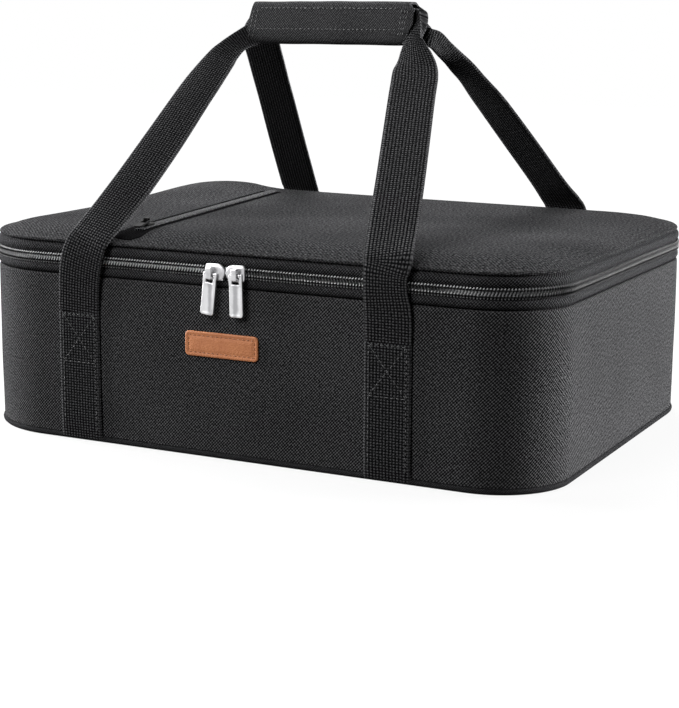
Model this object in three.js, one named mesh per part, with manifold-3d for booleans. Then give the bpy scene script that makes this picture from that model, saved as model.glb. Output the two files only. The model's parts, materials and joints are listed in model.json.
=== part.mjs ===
// Insulated casserole carrier: a soft zipped box with two webbing handles joined by a hook-and-loop hand grip.
// Millimetres, +Z up, front towards -Y, origin on the floor under the middle of the box.
import * as THREE from 'three';
import { mergeVertices } from 'three/addons/utils/BufferGeometryUtils.js';
import Module from 'manifold-3d';

// Box
const BODY_LENGTH = 420;
const BODY_DEPTH = 320;
const CORNER_RADIUS = 66;
const FRONT_RIGHT_CORNER_RADIUS = 48;
const WALL_TOP = 110;
const ZIP_BAND = 20.4;
const LID_SKIRT = 1.2;
const LID_CROWN = 8;
const LID_CROWN_RUN = 30;
const CORNER_STEPS = 8;

// Layers of the walls, base and lid
const CLEARANCE = 0.3;
const FABRIC = 1.2;
const FOAM = 5;
const LINING = 0.8;
const BINDING = 1.2;
const BINDING_LAP = 0.8;
const PIPING_DIAMETER = 4;
const PIPING_PROUD = 1;

// Zip round the front and the sides
const TAPE = 0.8;
const TAPE_TUCK = 8;
const COIL_HEIGHT = 3.2;
const COIL_GAP = 0.6;
const COIL_PROUD = 1;
const COIL_LAP = 0.6;
const HINGE_CORNER_ANGLE = 40;
const HINGE_GAP_ANGLE = 1.5;

// Zip sliders and their pull tabs
const SLIDER = { width: 13.6, height: 10.6, plate: 2.2, lip: 1.6, bridge: 4, reach: 3.6, bar: 1.5, span: 4.4 };
const PULL = { width: 9.4, length: 27, thickness: 2, eye: 8, eyeSlack: 0.5, corner: 1.6 };
const SLIDER_MEETING_GAP = 0.5;
const BRIDGE_OFFSET = 2;

// Pocket in the lid
const POCKET_FRONT = { fromLeft: 129, fromEdge: 29 };
const POCKET_BACK = { fromLeft: 90, fromEdge: 50 };
const POCKET_ZIP_WIDTH = 6;
const POCKET_ZIP_THICKNESS = 1;
const POUCH = 0.8;
const POUCH_EDGE_INSET = 20;
const POCKET_SLIDER = { width: 8, height: 12, plate: 1.4, lip: 0, bridge: 2.6, reach: 2.4, bar: 1, span: 3 };
const POCKET_PULL = { width: 6, length: 16, thickness: 1.2, eye: 5.5, eyeSlack: 0.4, corner: 1.2 };

// Webbing handles
const WEBBING_WIDTH = 31.5;
const WEBBING = 2;
const STRAP_SPACING = 223;
const STRAP_SEWN_TOP = 86;
const STRAP_STANDOFF = 1;
const STRAP_BEND_RISE = 2;
const STRAP_BEND = 8;
const STRAP_TURN = 19;
const STRAP_NARROWING = 30;
const STRAP_PARTING = 6;
const FOLDED_WEBBING = 3.4;

// Hand grip
const GRIP_LENGTH = 125;
const GRIP_HEIGHT = 26;
const GRIP_BOTTOM = 258;
const GRIP_SHIFT = -4.5;
const GRIP_LIP = 14;
const HOOK_TAPE = 1.2;
const HOOK_TAPE_HEIGHT = 10;
const HOOK_TAPE_MARGIN = 6;

// Leather patch
const PATCH_LENGTH = 53;
const PATCH_HEIGHT = 16;
const PATCH_THICKNESS = 1.5;
const PATCH_CORNER = 3;
const PATCH_BOTTOM = 65.5;
const PATCH_SHIFT = -4;

// Heights and insets that the pieces share. An inset counts inwards from the outer face of the walls.
const halfLength = BODY_LENGTH / 2;
const halfDepth = BODY_DEPTH / 2;
const lidSeam = WALL_TOP + ZIP_BAND;
const zipCentre = WALL_TOP + ZIP_BAND / 2;
const foamInset = FABRIC + CLEARANCE;
const foamInnerInset = foamInset + FOAM;
const liningInset = foamInnerInset + CLEARANCE;
const liningInnerInset = liningInset + LINING;
const tapeInset = foamInset;
const tapeInnerInset = tapeInset + TAPE;
const behindTapeInset = tapeInnerInset + CLEARANCE;
const rimTop = WALL_TOP - BINDING;
const tapeFoot = WALL_TOP - TAPE_TUCK;
const wallFoot = PIPING_DIAMETER + CLEARANCE;
const pouchDepth = FABRIC + CLEARANCE;
const lidFoamDepth = pouchDepth + POUCH + CLEARANCE;
const lidLiningDepth = lidFoamDepth + FOAM + CLEARANCE;
const coilFace = -halfDepth - COIL_PROUD;
const strapX = STRAP_SPACING / 2;
const strapCentre = halfDepth + CLEARANCE + WEBBING / 2;
const strapOverZip = halfDepth + COIL_PROUD + CLEARANCE + STRAP_STANDOFF + WEBBING / 2;

// Hand grip from its front face to its back face: flap, hook tape, loop tape, lip, two webbings, back
const gripTop = GRIP_BOTTOM + GRIP_HEIGHT;
const gripDepth = 3 * FABRIC + 2 * HOOK_TAPE + 2 * FOLDED_WEBBING + 6 * CLEARANCE;
const gripFront = -gripDepth / 2;
const hookFront = gripFront + FABRIC + CLEARANCE;
const loopFront = hookFront + HOOK_TAPE + CLEARANCE;
const lipFront = loopFront + HOOK_TAPE + CLEARANCE;
const frontWebbingY = lipFront + FABRIC + CLEARANCE + FOLDED_WEBBING / 2;
const backWebbingY = frontWebbingY + FOLDED_WEBBING + CLEARANCE;
const gripBack = gripDepth / 2;
const gripWallTop = gripTop - FABRIC - CLEARANCE;
const foldedWidth = GRIP_HEIGHT - 2 * FABRIC - 3 * CLEARANCE;
const webbingHeight = GRIP_BOTTOM + FABRIC + CLEARANCE + foldedWidth / 2;

const wasm = await Module();
wasm.setup();

const carrier = new THREE.Group();

const finishes = {
  outerFabric: { color: 0x37373a, roughness: 0.9, metalness: 0 },
  webbing: { color: 0x1b1b1d, roughness: 0.85, metalness: 0 },
  zipTape: { color: 0x202022, roughness: 0.85, metalness: 0 },
  zipCoil: { color: 0x121214, roughness: 0.35, metalness: 0 },
  foam: { color: 0xe9e7e0, roughness: 0.95, metalness: 0 },
  foil: { color: 0xc9ccd0, roughness: 0.35, metalness: 0.8 },
  binding: { color: 0x18181a, roughness: 0.9, metalness: 0 },
  metal: { color: 0xd3d4d6, roughness: 0.25, metalness: 1 },
  blackMetal: { color: 0x1c1c1e, roughness: 0.4, metalness: 0.6 },
  hookTape: { color: 0x161618, roughness: 1, metalness: 0 },
  leather: { color: 0xb5764c, roughness: 0.6, metalness: 0 },
};

// Adds one named piece to the carrier.
function addPiece(name, geometry, finish) {
  const mesh = new THREE.Mesh(geometry, new THREE.MeshStandardMaterial(finish));
  mesh.name = name;
  carrier.add(mesh);
  return mesh;
}

// Triangles that close one section of a loft, as indices into the section.
function capTriangles(section) {
  const normal = new THREE.Vector3();
  const middle = new THREE.Vector3();
  section.forEach((point) => middle.add(point));
  middle.divideScalar(section.length);
  section.forEach((point, i) => {
    const next = section[(i + 1) % section.length];
    normal.add(point.clone().sub(middle).cross(next.clone().sub(middle)));
  });
  normal.normalize();
  const across = section[1].clone().sub(section[0]).normalize();
  const along = normal.clone().cross(across);
  const flat = section.map((point) => new THREE.Vector2(point.dot(across), point.dot(along)));
  return THREE.ShapeUtils.triangulateShape(flat, []);
}

// Six times the volume that the triangles enclose, negative where they face inwards.
function signedVolume(points, triangles) {
  const cross = new THREE.Vector3();
  return triangles.reduce((sum, [a, b, c]) => sum + points[a].dot(cross.crossVectors(points[b], points[c])), 0);
}

// A closed solid through sections of equal point counts, joined end to end if it is a loop.
function loft(sections, isLoop = false) {
  const count = sections[0].length;
  const points = sections.flat();
  const triangles = [];
  const spans = isLoop ? sections.length : sections.length - 1;
  for (let i = 0; i < spans; i += 1) {
    const here = i * count;
    const there = ((i + 1) % sections.length) * count;
    for (let j = 0; j < count; j += 1) {
      const k = (j + 1) % count;
      triangles.push([here + j, there + j, there + k], [here + j, there + k, here + k]);
    }
  }
  if (!isLoop) {
    const last = (sections.length - 1) * count;
    capTriangles(sections[0]).forEach(([a, b, c]) => triangles.push([a, b, c]));
    capTriangles(sections.at(-1)).forEach(([a, b, c]) => triangles.push([last + a, last + c, last + b]));
  }
  const facesIn = signedVolume(points, triangles) < 0;
  const geometry = new THREE.BufferGeometry().setFromPoints(points);
  geometry.setIndex(triangles.flatMap(([a, b, c]) => (facesIn ? [a, c, b] : [a, b, c])));
  return geometry;
}

// A geometry as a solid for joins and cuts.
function solidOf(geometry) {
  const bare = geometry.clone();
  bare.deleteAttribute('normal');
  bare.deleteAttribute('uv');
  const merged = mergeVertices(bare, 1e-3);
  const vertProperties = merged.getAttribute('position').array;
  const triVerts = new Uint32Array(merged.index.array);
  return new wasm.Manifold(new wasm.Mesh({ numProp: 3, vertProperties, triVerts }));
}

// The geometry of a joined or cut solid.
function geometryOf(solid) {
  const { vertProperties, triVerts } = solid.getMesh();
  const geometry = new THREE.BufferGeometry();
  geometry.setAttribute('position', new THREE.BufferAttribute(vertProperties, 3));
  geometry.setIndex(new THREE.BufferAttribute(triVerts, 1));
  return geometry;
}

function join(...geometries) {
  return geometryOf(geometries.map(solidOf).reduce((whole, piece) => whole.add(piece)));
}

function common(first, second) {
  return geometryOf(solidOf(first).intersect(solidOf(second)));
}

// A box between two corners.
function box([x0, y0, z0], [x1, y1, z1]) {
  return new THREE.BoxGeometry(x1 - x0, y1 - y0, z1 - z0).translate((x0 + x1) / 2, (y0 + y1) / 2, (z0 + z1) / 2);
}

// A closed outline in the YZ plane, drawn out along X.
function alongX(outline, x0, x1) {
  return loft([x0, x1].map((x) => outline.map(([y, z]) => new THREE.Vector3(x, y, z))));
}

// An outward normal of a corner, on the chords between its steps, so that layers of any length run parallel.
function chordNormal(angle) {
  const step = 90 / CORNER_STEPS;
  const before = Math.floor(angle / step);
  const unit = (index) => {
    const turn = THREE.MathUtils.degToRad(index * step);
    return new THREE.Vector2(Math.cos(turn), Math.sin(turn));
  };
  return unit(before).lerp(unit(before + 1), angle / step - before);
}

// One corner of the box's plan from one angle to another: the side signs and the outward normals.
function cornerArc(signX, signY, fromAngle, toAngle) {
  const quarter = Math.floor(fromAngle / 90) * 90;
  const steps = Array.from({ length: CORNER_STEPS }, (_, i) => quarter + (90 * i) / CORNER_STEPS);
  const between = steps.filter((angle) => angle > fromAngle && angle < toAngle);
  return [fromAngle, ...between, toAngle].map((angle) => ({ signX, signY, normal: chordNormal(angle) }));
}

// A point of the plan at an inset from the outer face. The corner keeps a small radius past its centre.
function planPoint({ signX, signY, normal }, inset, z) {
  const leastRadius = 4;
  const outerRadius = signX > 0 && signY < 0 ? FRONT_RIGHT_CORNER_RADIUS : CORNER_RADIUS;
  const radius = Math.max(outerRadius - inset, leastRadius);
  const edge = inset + radius;
  const x = signX * (halfLength - edge) + normal.x * radius;
  const y = signY * (halfDepth - edge) + normal.y * radius;
  return new THREE.Vector3(x, y, z);
}

// The whole plan, and the parts of it that the zip and the hinge strip take, counter-clockwise from the back left.
const wholePlan = [
  ...cornerArc(-1, 1, 90, 180),
  ...cornerArc(-1, -1, 180, 270),
  ...cornerArc(1, -1, 270, 360),
  ...cornerArc(1, 1, 0, 90),
];
const zipStart = HINGE_CORNER_ANGLE + HINGE_GAP_ANGLE;
const zipPlan = [
  ...cornerArc(-1, 1, 90 + zipStart, 180),
  ...cornerArc(-1, -1, 180, 270),
  ...cornerArc(1, -1, 270, 360),
  ...cornerArc(1, 1, 0, 90 - zipStart),
];
const hingePlan = [
  ...cornerArc(1, 1, 90 - HINGE_CORNER_ANGLE, 90),
  ...cornerArc(-1, 1, 90, 90 + HINGE_CORNER_ANGLE),
];

// A profile of [inset, height] points carried round a stretch of the plan.
function roundPlan(plan, profile) {
  const sections = plan.map((station) => profile.map(([inset, z]) => planPoint(station, inset, z)));
  return loft(sections, plan === wholePlan);
}

// A solid through level rings of [inset, height], closed at the first and the last.
function throughRings(rings) {
  return loft(rings.map(([inset, z]) => wholePlan.map((station) => planPoint(station, inset, z))));
}

// A rectangle as a profile between two insets and two heights.
function band(inset0, inset1, z0, z1) {
  return [
    [inset0, z0],
    [inset0, z1],
    [inset1, z1],
    [inset1, z0],
  ];
}

// Height of the lid's outer surface at an inset: steep at the edge, level past the crown's run.
function lidTop(inset) {
  const fall = 1 - Math.min(inset / LID_CROWN_RUN, 1);
  return lidSeam + LID_SKIRT + LID_CROWN * (1 - fall * fall);
}

// Insets from the rim of a lid layer to where the lid is level.
function crownInsets(rim) {
  const shares = [0, 0.08, 0.2, 0.4, 0.65, 1];
  return shares.map((share) => rim + (LID_CROWN_RUN - rim) * share);
}

// A layer of the lid between two depths under its outer surface.
function lidLayer(topDepth, bottomDepth, rim) {
  const insets = crownInsets(rim);
  const under = insets.toReversed().map((inset) => [inset, lidTop(inset) - bottomDepth]);
  const over = insets.map((inset) => [inset, lidTop(inset) - topDepth]);
  return throughRings([...under, ...over]);
}

function makeBox() {
  const pipingRadius = PIPING_DIAMETER / 2;
  const pipingInset = pipingRadius - PIPING_PROUD;
  const pipingSides = 8;
  const piping = Array.from({ length: pipingSides }, (_, i) => {
    const angle = (2 * Math.PI * i) / pipingSides;
    return [pipingInset + pipingRadius * Math.cos(angle), pipingRadius * (1 + Math.sin(angle))];
  });
  addPiece('bottom_piping', roundPlan(wholePlan, piping), finishes.binding);

  const bottomInset = pipingInset + pipingRadius + CLEARANCE;
  addPiece('bottom_panel', throughRings([[bottomInset, 0], [bottomInset, FABRIC]]), finishes.outerFabric);
  addPiece('wall_fabric', roundPlan(wholePlan, band(0, FABRIC, wallFoot, WALL_TOP)), finishes.outerFabric);

  const foamTop = rimTop - CLEARANCE;
  const wallFoam = [
    [foamInset, wallFoot],
    [foamInset, tapeFoot - CLEARANCE],
    [behindTapeInset, tapeFoot - CLEARANCE],
    [behindTapeInset, foamTop],
    [foamInnerInset, foamTop],
    [foamInnerInset, wallFoot],
  ];
  addPiece('wall_foam', roundPlan(wholePlan, wallFoam), finishes.foam);

  const baseFoot = FABRIC + CLEARANCE;
  const baseTop = baseFoot + FOAM;
  addPiece('base_foam', throughRings([[liningInset, baseFoot], [liningInset, baseTop]]), finishes.foam);

  const floor = baseTop + CLEARANCE;
  const tub = [
    [liningInset, floor],
    [liningInset, foamTop],
    [liningInnerInset, foamTop],
    [liningInnerInset, floor + LINING],
  ];
  addPiece('body_lining', throughRings(tub), finishes.foil);

  const rimBinding = band(behindTapeInset, liningInnerInset + BINDING_LAP, rimTop, rimTop + BINDING);
  addPiece('body_rim_binding', roundPlan(wholePlan, rimBinding), finishes.binding);
}

function makeZip() {
  const coilInner = zipCentre - COIL_GAP / 2;
  const tapeEnd = coilInner - COIL_LAP;
  const tapeLower = band(tapeInset, tapeInnerInset, tapeFoot, tapeEnd);
  addPiece('lower_zip_tape', roundPlan(zipPlan, tapeLower), finishes.zipTape);

  const coilBack = tapeInset - CLEARANCE;
  const coilChamfer = COIL_HEIGHT / 4;
  const coilLower = [
    [coilBack, coilInner - COIL_HEIGHT],
    [coilChamfer - COIL_PROUD, coilInner - COIL_HEIGHT],
    [-COIL_PROUD, coilInner - COIL_HEIGHT + coilChamfer],
    [-COIL_PROUD, coilInner],
    [coilBack, coilInner],
  ];
  addPiece('lower_zip_coil', roundPlan(zipPlan, coilLower), finishes.zipCoil);

  const mirrored = ([inset, z]) => [inset, 2 * zipCentre - z];
  addPiece('upper_zip_coil', roundPlan(zipPlan, coilLower.map(mirrored)), finishes.zipCoil);

  const upperTapeTop = lidTop(0) - FABRIC - CLEARANCE;
  const tapeUpper = band(tapeInset, tapeInnerInset, 2 * zipCentre - tapeEnd, upperTapeTop);
  addPiece('upper_zip_tape', roundPlan(zipPlan, tapeUpper), finishes.zipTape);

  const hinge = band(0, FABRIC, WALL_TOP + CLEARANCE, lidSeam);
  addPiece('lid_hinge_strip', roundPlan(hingePlan, hinge), finishes.outerFabric);
}

function makeLid() {
  const skirtFoot = lidSeam + CLEARANCE;
  const insets = crownInsets(0);
  const inner = insets.slice(1).toReversed().map((inset) => [inset, lidTop(inset) - FABRIC]);
  const rim = [
    [FABRIC, lidTop(FABRIC) - FABRIC],
    [FABRIC, skirtFoot],
    [0, skirtFoot],
  ];
  const outer = insets.map((inset) => [inset, lidTop(inset)]);
  addPiece('lid_panel', throughRings([...inner, ...rim, ...outer]), finishes.outerFabric);

  const foam = lidLayer(lidFoamDepth, lidFoamDepth + FOAM, behindTapeInset);
  addPiece('lid_foam', foam, finishes.foam);
  const lining = lidLayer(lidLiningDepth, lidLiningDepth + LINING, behindTapeInset);
  addPiece('lid_lining', lining, finishes.foil);

  const bindingTop = lidTop(behindTapeInset) - lidLiningDepth - LINING - CLEARANCE;
  const bindingEdge = liningInnerInset + BINDING_LAP;
  const binding = band(behindTapeInset, bindingEdge, bindingTop - BINDING, bindingTop);
  addPiece('lid_rim_binding', roundPlan(wholePlan, binding), finishes.binding);
}

// A slider that rides on a face at y = 0, with its bridge out towards -Y, made about its own middle.
function sliderGeometry({ width, height, plate, lip, bridge, reach, bar, span }, bridgeX, lipReach) {
  const face = -CLEARANCE - plate;
  const plateBox = box([-width / 2, face, -height / 2], [width / 2, -CLEARANCE, height / 2]);
  const outer = face - reach - bar;
  const half = span / 2;
  const rooted = face + plate / 2;
  const arch = [
    [rooted, -half - bar],
    [outer, -half - bar],
    [outer, half + bar],
    [rooted, half + bar],
    [rooted, half],
    [face - reach, half],
    [face - reach, -half],
    [rooted, -half],
  ];
  const pieces = [plateBox, alongX(arch, bridgeX - bridge / 2, bridgeX + bridge / 2)];
  if (lip > 0) {
    pieces.push(box([-width / 2, face, -height / 2], [width / 2, lipReach, lip - height / 2]));
  }
  return join(...pieces);
}

// Where the pull's round rung lies in its slider's bridge.
function rungPlace({ plate, reach, span }, { thickness }) {
  return { y: -CLEARANCE - plate - reach / 2, z: -span / 2 + CLEARANCE + thickness / 2 };
}

// A pull tab with its rung on the X axis, hanging towards -Z: a plate with an eye, closed by the rung.
function pullGeometry({ width, length, thickness, eye, eyeSlack, corner }, { bridge }) {
  const half = width / 2;
  const eyeHalf = bridge / 2 + eyeSlack;
  const eyeFoot = -thickness / 2 - eye;
  const foot = thickness / 2 - length;
  const outline = new THREE.Shape();
  outline.moveTo(-half, 0);
  outline.lineTo(-half, foot + corner);
  outline.absarc(corner - half, foot + corner, corner, Math.PI, 1.5 * Math.PI);
  outline.absarc(half - corner, foot + corner, corner, 1.5 * Math.PI, 2 * Math.PI);
  outline.lineTo(half, 0);
  outline.lineTo(eyeHalf, 0);
  outline.lineTo(eyeHalf, eyeFoot);
  outline.lineTo(-eyeHalf, eyeFoot);
  outline.lineTo(-eyeHalf, 0);
  const settings = { depth: thickness, bevelEnabled: false, curveSegments: 4 };
  const tab = new THREE.ExtrudeGeometry(outline, settings).translate(0, 0, -thickness / 2).rotateX(Math.PI / 2);
  const rungSides = 12;
  const rung = new THREE.CylinderGeometry(thickness / 2, thickness / 2, width, rungSides).rotateZ(Math.PI / 2);
  return join(tab, rung);
}

function makeZipSliders() {
  const lipReach = COIL_PROUD + tapeInset - CLEARANCE;
  const spread = (SLIDER.width + SLIDER_MEETING_GAP) / 2;
  const sides = { left: -1, right: 1 };
  Object.entries(sides).forEach(([side, sign]) => {
    const bridgeX = sign * BRIDGE_OFFSET;
    const slider = addPiece(`${side}_slider`, sliderGeometry(SLIDER, bridgeX, lipReach), finishes.metal);
    slider.position.set(sign * spread, coilFace, zipCentre);
    const pull = addPiece(`${side}_pull`, pullGeometry(PULL, SLIDER), finishes.metal);
    const rung = rungPlace(SLIDER, PULL);
    pull.position.set(sign * spread + bridgeX, coilFace + rung.y, zipCentre + rung.z);
  });
}

function makePocket() {
  const front = new THREE.Vector2(POCKET_FRONT.fromLeft - halfLength, POCKET_FRONT.fromEdge - halfDepth);
  const back = new THREE.Vector2(POCKET_BACK.fromLeft - halfLength, halfDepth - POCKET_BACK.fromEdge);
  const run = back.clone().sub(front);
  const slant = run.angle() - Math.PI / 2;
  const onRun = (geometry) => geometry.rotateZ(slant).translate(front.x, front.y, 0);
  const foot = lidTop(LID_CROWN_RUN) + CLEARANCE;
  const edge = POCKET_ZIP_WIDTH / 2;
  const zip = onRun(box([-edge, 0, foot], [edge, run.length(), foot + POCKET_ZIP_THICKNESS]));
  addPiece('pocket_zip', zip, finishes.zipTape);

  const pouchLayer = lidLayer(pouchDepth, pouchDepth + POUCH, POUCH_EDGE_INSET);
  const pouchSide = onRun(box([-BODY_LENGTH, -BODY_DEPTH, 0], [edge, 2 * BODY_DEPTH, 2 * gripTop]));
  addPiece('pocket_pouch', common(pouchLayer, pouchSide), finishes.zipTape);

  const place = new THREE.Group();
  const parked = front.clone().add(run.clone().setLength(POCKET_SLIDER.height / 2));
  place.position.set(parked.x, parked.y, foot + POCKET_ZIP_THICKNESS);
  place.rotation.set(-Math.PI / 2, 0, slant, 'ZXY');
  carrier.add(place);
  const slider = addPiece('pocket_slider', sliderGeometry(POCKET_SLIDER, 0, 0), finishes.blackMetal);
  const pull = addPiece('pocket_pull', pullGeometry(POCKET_PULL, POCKET_SLIDER), finishes.blackMetal);
  const rung = rungPlace(POCKET_SLIDER, POCKET_PULL);
  pull.position.set(0, rung.y, rung.z);
  place.add(slider, pull);
}

// A stretch of webbing sewn flat on the front (towards = -1) or the back (towards = 1).
function makeSewnStraps() {
  const faces = { front: -1, back: 1 };
  const sides = { left: -1, right: 1 };
  Object.entries(faces).forEach(([face, towards]) => {
    Object.entries(sides).forEach(([side, sign]) => {
      const strap = new THREE.BoxGeometry(WEBBING_WIDTH, WEBBING, STRAP_SEWN_TOP - wallFoot);
      strap.translate(sign * strapX, towards * strapCentre, (STRAP_SEWN_TOP + wallFoot) / 2);
      addPiece(`${face}_${side}_strap`, strap, finishes.webbing);
    });
  });
}

// One half of a webbing loop, from the top of its stitching to the middle of the grip, as places with the
// outward normal, width and thickness of the webbing there.
function halfLoop(sign, towards, gripY) {
  const outward = new THREE.Vector3(0, towards, 0);
  const place = (x, y, z) => new THREE.Vector3(sign * x, towards * y, z);
  const gripEnd = new THREE.Vector3(GRIP_SHIFT + (sign * GRIP_LENGTH) / 2, gripY, webbingHeight);
  const corner = gripEnd.clone().add(new THREE.Vector3(sign * STRAP_TURN, towards * STRAP_PARTING, 0));
  const bend = place(strapX, strapOverZip, lidTop(0) + STRAP_BEND_RISE);
  const run = corner.clone().sub(bend).normalize();
  const slantNormal = new THREE.Vector3(sign, 0, 0).cross(run).multiplyScalar(-sign * towards).normalize();
  const stations = [];
  const add = (point, normal, width, thickness) => stations.push({ point, normal, width, thickness });

  add(place(strapX, strapCentre, STRAP_SEWN_TOP + CLEARANCE), outward, WEBBING_WIDTH, WEBBING);
  add(place(strapX, strapOverZip, zipCentre - COIL_HEIGHT), outward, WEBBING_WIDTH, WEBBING);
  const bendFrom = bend.clone().add(new THREE.Vector3(0, 0, -STRAP_BEND));
  const bendTo = bend.clone().addScaledVector(run, STRAP_BEND);
  const bendSteps = 4;
  new THREE.QuadraticBezierCurve3(bendFrom, bend, bendTo).getPoints(bendSteps).forEach((point, i) => {
    const normal = outward.clone().lerp(slantNormal, i / bendSteps).normalize();
    add(point, normal, WEBBING_WIDTH, WEBBING);
  });
  const narrowing = STRAP_TURN + STRAP_NARROWING;
  add(corner.clone().addScaledVector(run, -narrowing), slantNormal, WEBBING_WIDTH, WEBBING);
  const turnSteps = 8;
  const turn = new THREE.QuadraticBezierCurve3(corner.clone().addScaledVector(run, -STRAP_TURN), corner, gripEnd);
  turn.getPoints(turnSteps).forEach((point, i) => {
    const share = i / turnSteps;
    const normal = slantNormal.clone().lerp(outward, share).normalize();
    const folded = 0.4 + 0.6 * share;
    const width = THREE.MathUtils.lerp(WEBBING_WIDTH, foldedWidth, folded);
    add(point, normal, width, THREE.MathUtils.lerp(WEBBING, FOLDED_WEBBING, folded));
  });
  return stations;
}

// A webbing loop: a ribbon up from the right, through the grip and down to the left.
function loopGeometry(towards, gripY) {
  const stations = [...halfLoop(1, towards, gripY), ...halfLoop(-1, towards, gripY).toReversed()];
  const sections = stations.map(({ point, normal, width, thickness }, i) => {
    const before = stations[Math.max(i - 1, 0)].point;
    const after = stations[Math.min(i + 1, stations.length - 1)].point;
    const tangent = after.clone().sub(before).normalize();
    const out = normal.clone().addScaledVector(tangent, -normal.dot(tangent)).normalize();
    const across = tangent.clone().cross(out);
    const at = (u, v) => point.clone().addScaledVector(across, (u * width) / 2).addScaledVector(out, (v * thickness) / 2);
    return [at(-1, -1), at(1, -1), at(1, 1), at(-1, 1)];
  });
  return loft(sections);
}

function makeHandles() {
  addPiece('front_strap_loop', loopGeometry(-1, frontWebbingY), finishes.webbing);
  addPiece('back_strap_loop', loopGeometry(1, backWebbingY), finishes.webbing);
}

function makeGrip() {
  const x0 = GRIP_SHIFT - GRIP_LENGTH / 2;
  const x1 = GRIP_SHIFT + GRIP_LENGTH / 2;
  const floorTop = GRIP_BOTTOM + FABRIC;
  const wrap = [
    [lipFront, GRIP_BOTTOM],
    [gripBack, GRIP_BOTTOM],
    [gripBack, gripWallTop],
    [gripBack - FABRIC, gripWallTop],
    [gripBack - FABRIC, floorTop],
    [lipFront + FABRIC, floorTop],
    [lipFront + FABRIC, GRIP_BOTTOM + GRIP_LIP],
    [lipFront, GRIP_BOTTOM + GRIP_LIP],
  ];
  addPiece('grip_wrap', alongX(wrap, x0, x1), finishes.outerFabric);

  const flapTopFoot = gripTop - FABRIC;
  const flap = [
    [gripFront, GRIP_BOTTOM],
    [gripFront + FABRIC, GRIP_BOTTOM],
    [gripFront + FABRIC, flapTopFoot],
    [gripBack, flapTopFoot],
    [gripBack, gripTop],
    [gripFront, gripTop],
  ];
  addPiece('grip_flap', alongX(flap, x0, x1), finishes.outerFabric);

  const tapeBottom = GRIP_BOTTOM + (GRIP_LIP - HOOK_TAPE_HEIGHT) / 2;
  const tapeTop = tapeBottom + HOOK_TAPE_HEIGHT;
  const tapes = { grip_hook_tape: hookFront, grip_loop_tape: loopFront };
  Object.entries(tapes).forEach(([name, front]) => {
    const from = [x0 + HOOK_TAPE_MARGIN, front, tapeBottom];
    const to = [x1 - HOOK_TAPE_MARGIN, front + HOOK_TAPE, tapeTop];
    addPiece(name, box(from, to), finishes.hookTape);
  });
}

function makePatch() {
  const half = PATCH_LENGTH / 2;
  const outline = new THREE.Shape();
  const arcs = [
    [PATCH_CORNER - half, PATCH_CORNER, Math.PI],
    [half - PATCH_CORNER, PATCH_CORNER, 1.5 * Math.PI],
    [half - PATCH_CORNER, PATCH_HEIGHT - PATCH_CORNER, 2 * Math.PI],
    [PATCH_CORNER - half, PATCH_HEIGHT - PATCH_CORNER, 2.5 * Math.PI],
  ];
  arcs.forEach(([x, y, angle]) => outline.absarc(x, y, PATCH_CORNER, angle, angle + Math.PI / 2));
  const settings = { depth: PATCH_THICKNESS, bevelEnabled: false, curveSegments: 5 };
  const patch = addPiece('leather_patch', new THREE.ExtrudeGeometry(outline, settings), finishes.leather);
  patch.rotation.x = Math.PI / 2;
  patch.position.set(PATCH_SHIFT, -halfDepth - CLEARANCE, PATCH_BOTTOM);
}

makeBox();
makeZip();
makeLid();
makeZipSliders();
makePocket();
makeSewnStraps();
makeHandles();
makeGrip();
makePatch();

export default carrier;
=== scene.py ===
"""Looks of a soft, insulated casserole carrier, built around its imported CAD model.

Every length is in metres in the CAD frame: +Z up, the front towards -Y, the origin on the floor.
"""

from __future__ import annotations

import json
import logging
import math
from collections.abc import Callable, Iterable, Sequence
from dataclasses import dataclass, field
from enum import Enum

import bmesh
import bpy
from mathutils import Matrix, Vector, noise

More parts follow.
